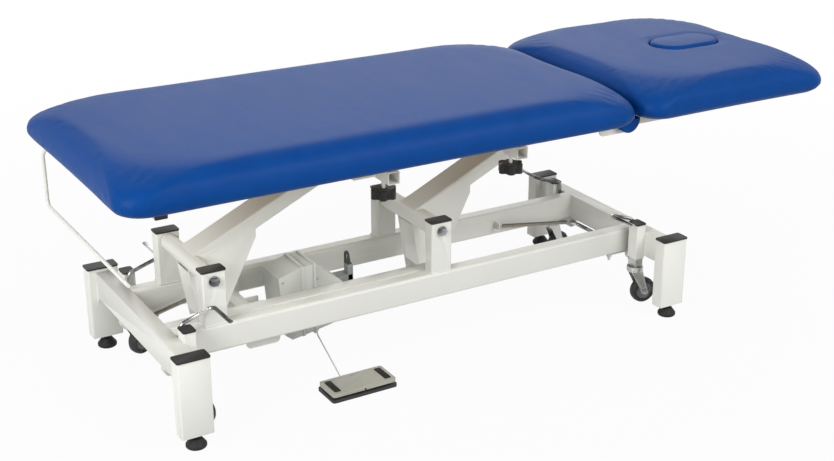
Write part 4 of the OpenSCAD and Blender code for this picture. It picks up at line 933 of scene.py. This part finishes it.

# %% [markdown]
# ## The cover in the gap
#
# A strip of the same vinyl closes the gap between the sections from below. It hangs in a shallow
# curve from one section to the other. It is cut in three,
# because the hinges go through it: a broad middle piece and a narrow flap at each side.

# %% Gap cover
HINGE_X = JOINTS["head_tilt"]["pos_m"][0]
COVER_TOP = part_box("gap_cover")[1].z
COVER_DROP = 4 * MM
COVER_PARTS = ((26.4 * MM, -230.5 * MM, 230.5 * MM, False), (33.4 * MM, -268.8 * MM, -289.5 * MM, True),
               (33.4 * MM, 268.8 * MM, 289.5 * MM, True))


def hung_strip(name, radius, inner, outer, closed):
    """A flat grid whose length becomes a half circle with two short straight ends. The outer end
    of a side flap is folded in, so that it closes the half circle."""
    run = math.pi * radius + 2 * COVER_DROP
    rows = max(12, int(abs(outer - inner) / (8 * MM)))
    bpy.ops.mesh.primitive_grid_add(x_subdivisions=28, y_subdivisions=rows, size=1)
    strip = bpy.context.object
    fold = 0.5 if closed else 1.0

    def rule(place):
        along, share = (place.x + 0.5) * run, place.y + 0.5
        y = inner + (outer - inner) * min(1, share / fold)
        shrink = 1 - 0.97 * max(0, share - fold) / max(1 - fold, 0.01)
        size = radius * shrink + noise.noise(Vector((along * 30, share * 5, 0))) * 0.8 * MM
        drop = COVER_DROP * (1.6 - 0.6 * shrink)
        if along < COVER_DROP:
            return Vector((HINGE_X - size, y, COVER_TOP - drop * along / COVER_DROP))
        if along > run - COVER_DROP:
            return Vector((HINGE_X + size, y, COVER_TOP - drop * (run - along) / COVER_DROP))
        angle = (along - COVER_DROP) / radius
        return Vector((HINGE_X - size * math.cos(angle), y, COVER_TOP - drop - size * math.sin(angle)))

    move_corners(strip, rule)
    return settle(strip, name)


cover = joined("gap_cover_vinyl", *[hung_strip(f"cover_{i}", *part) for i, part in enumerate(COVER_PARTS)])
thick = cover.modifiers.new("vinyl thickness", "SOLIDIFY")
thick.thickness = 1.2 * MM
bpy.ops.object.modifier_apply(modifier=thick.name)
bpy.ops.object.shade_smooth()
dressed(cover, None, VINYL, "vinyl", "gap_cover")
HINGE_X - 25 * MM
HINGE_X + 25 * MM
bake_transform(cover)

# %% [markdown]
# ## The plain studio
#
# A product shot on white needs a floor that is white to the camera and still takes a soft shadow,
# and light that comes from everywhere with one clear main direction. The backdrop's white comes
# from what the camera ray meets and never from stronger lamps, so the colours stay as written.

# %% Floor, world and lamps
FLOOR_SIZE = 60.0
AMBIENT = 0.47


def seen_directly(tree):
    """1 for rays that show the backdrop, straight or in metal and glass, and 0 for its light."""
    path = tree.nodes.new("ShaderNodeLightPath")
    seen = path.outputs["Is Camera Ray"]
    for kind in ("Is Glossy Ray", "Is Transmission Ray"):
        total = tree.nodes.new("ShaderNodeMath")
        total.operation, total.use_clamp = "ADD", True
        tree.links.new(seen, total.inputs[0])
        tree.links.new(path.outputs[kind], total.inputs[1])
        seen = total.outputs[0]
    return seen


def make_floor():
    bpy.ops.mesh.primitive_plane_add(size=FLOOR_SIZE, location=(0, 0, 0))
    floor = settle(bpy.context.object, "floor")
    made = Finish("floor_white", (0.6, 0.6, 0.6), 0.9, specular_ior_level=0.1)
    tree = made.tree
    glow = tree.nodes.new("ShaderNodeEmission")
    glow.inputs["Color"].default_value = (1, 1, 1, 1)
    mix = tree.nodes.new("ShaderNodeMixShader")
    near = made.node("ShaderNodeVectorMath", {"operation": "LENGTH"}, {0: made.place}, output="Value")
    fade = ((near - 0.9) * 0.45).clamp() * 0.05 + 0.95
    share = fade * Value(made, seen_directly(tree))
    tree.links.new(share.socket, mix.inputs[0])
    tree.links.new(made.shader.outputs[0], mix.inputs[1])
    tree.links.new(glow.outputs[0], mix.inputs[2])
    tree.links.new(mix.outputs[0], tree.nodes["Material Output"].inputs["Surface"])
    floor.data.materials.append(made.material)


def make_world():
    world = bpy.data.worlds.new("studio")
    world.use_nodes = True
    bpy.context.scene.world = world
    tree = world.node_tree
    background = tree.nodes["Background"]
    background.inputs["Color"].default_value = (1, 1, 1, 1)
    level = tree.nodes.new("ShaderNodeMath")
    level.operation = "MULTIPLY_ADD"
    tree.links.new(seen_directly(tree), level.inputs[0])
    level.inputs[1].default_value = 1.0 - AMBIENT
    level.inputs[2].default_value = AMBIENT
    tree.links.new(level.outputs[0], background.inputs["Strength"])


def make_lamp(name, place, target, size, power):
    data = bpy.data.lights.new(name, "AREA")
    data.shape, data.size, data.energy = "DISK", size, power
    lamp = bpy.data.objects.new(name, data)
    bpy.context.scene.collection.objects.link(lamp)
    lamp.location = place
    lamp.rotation_mode = "QUATERNION"
    lamp.rotation_quaternion = (Vector(target) - Vector(place)).to_track_quat("-Z", "Y")
    lamp.visible_camera = False


make_floor()
make_world()
make_lamp("key", (-4.0, -1.6, 2.3), (-0.2, 0, 0.35), 2.4, 118)
make_lamp("fill", (1.4, -3.6, 2.6), (0, 0, 0.35), 2.6, 88)
make_lamp("sweep", (2.6, 4.6, 2.9), (0, 0, 0.6), 5.5, 62)
bpy.context.scene.view_settings.view_transform = "Standard"
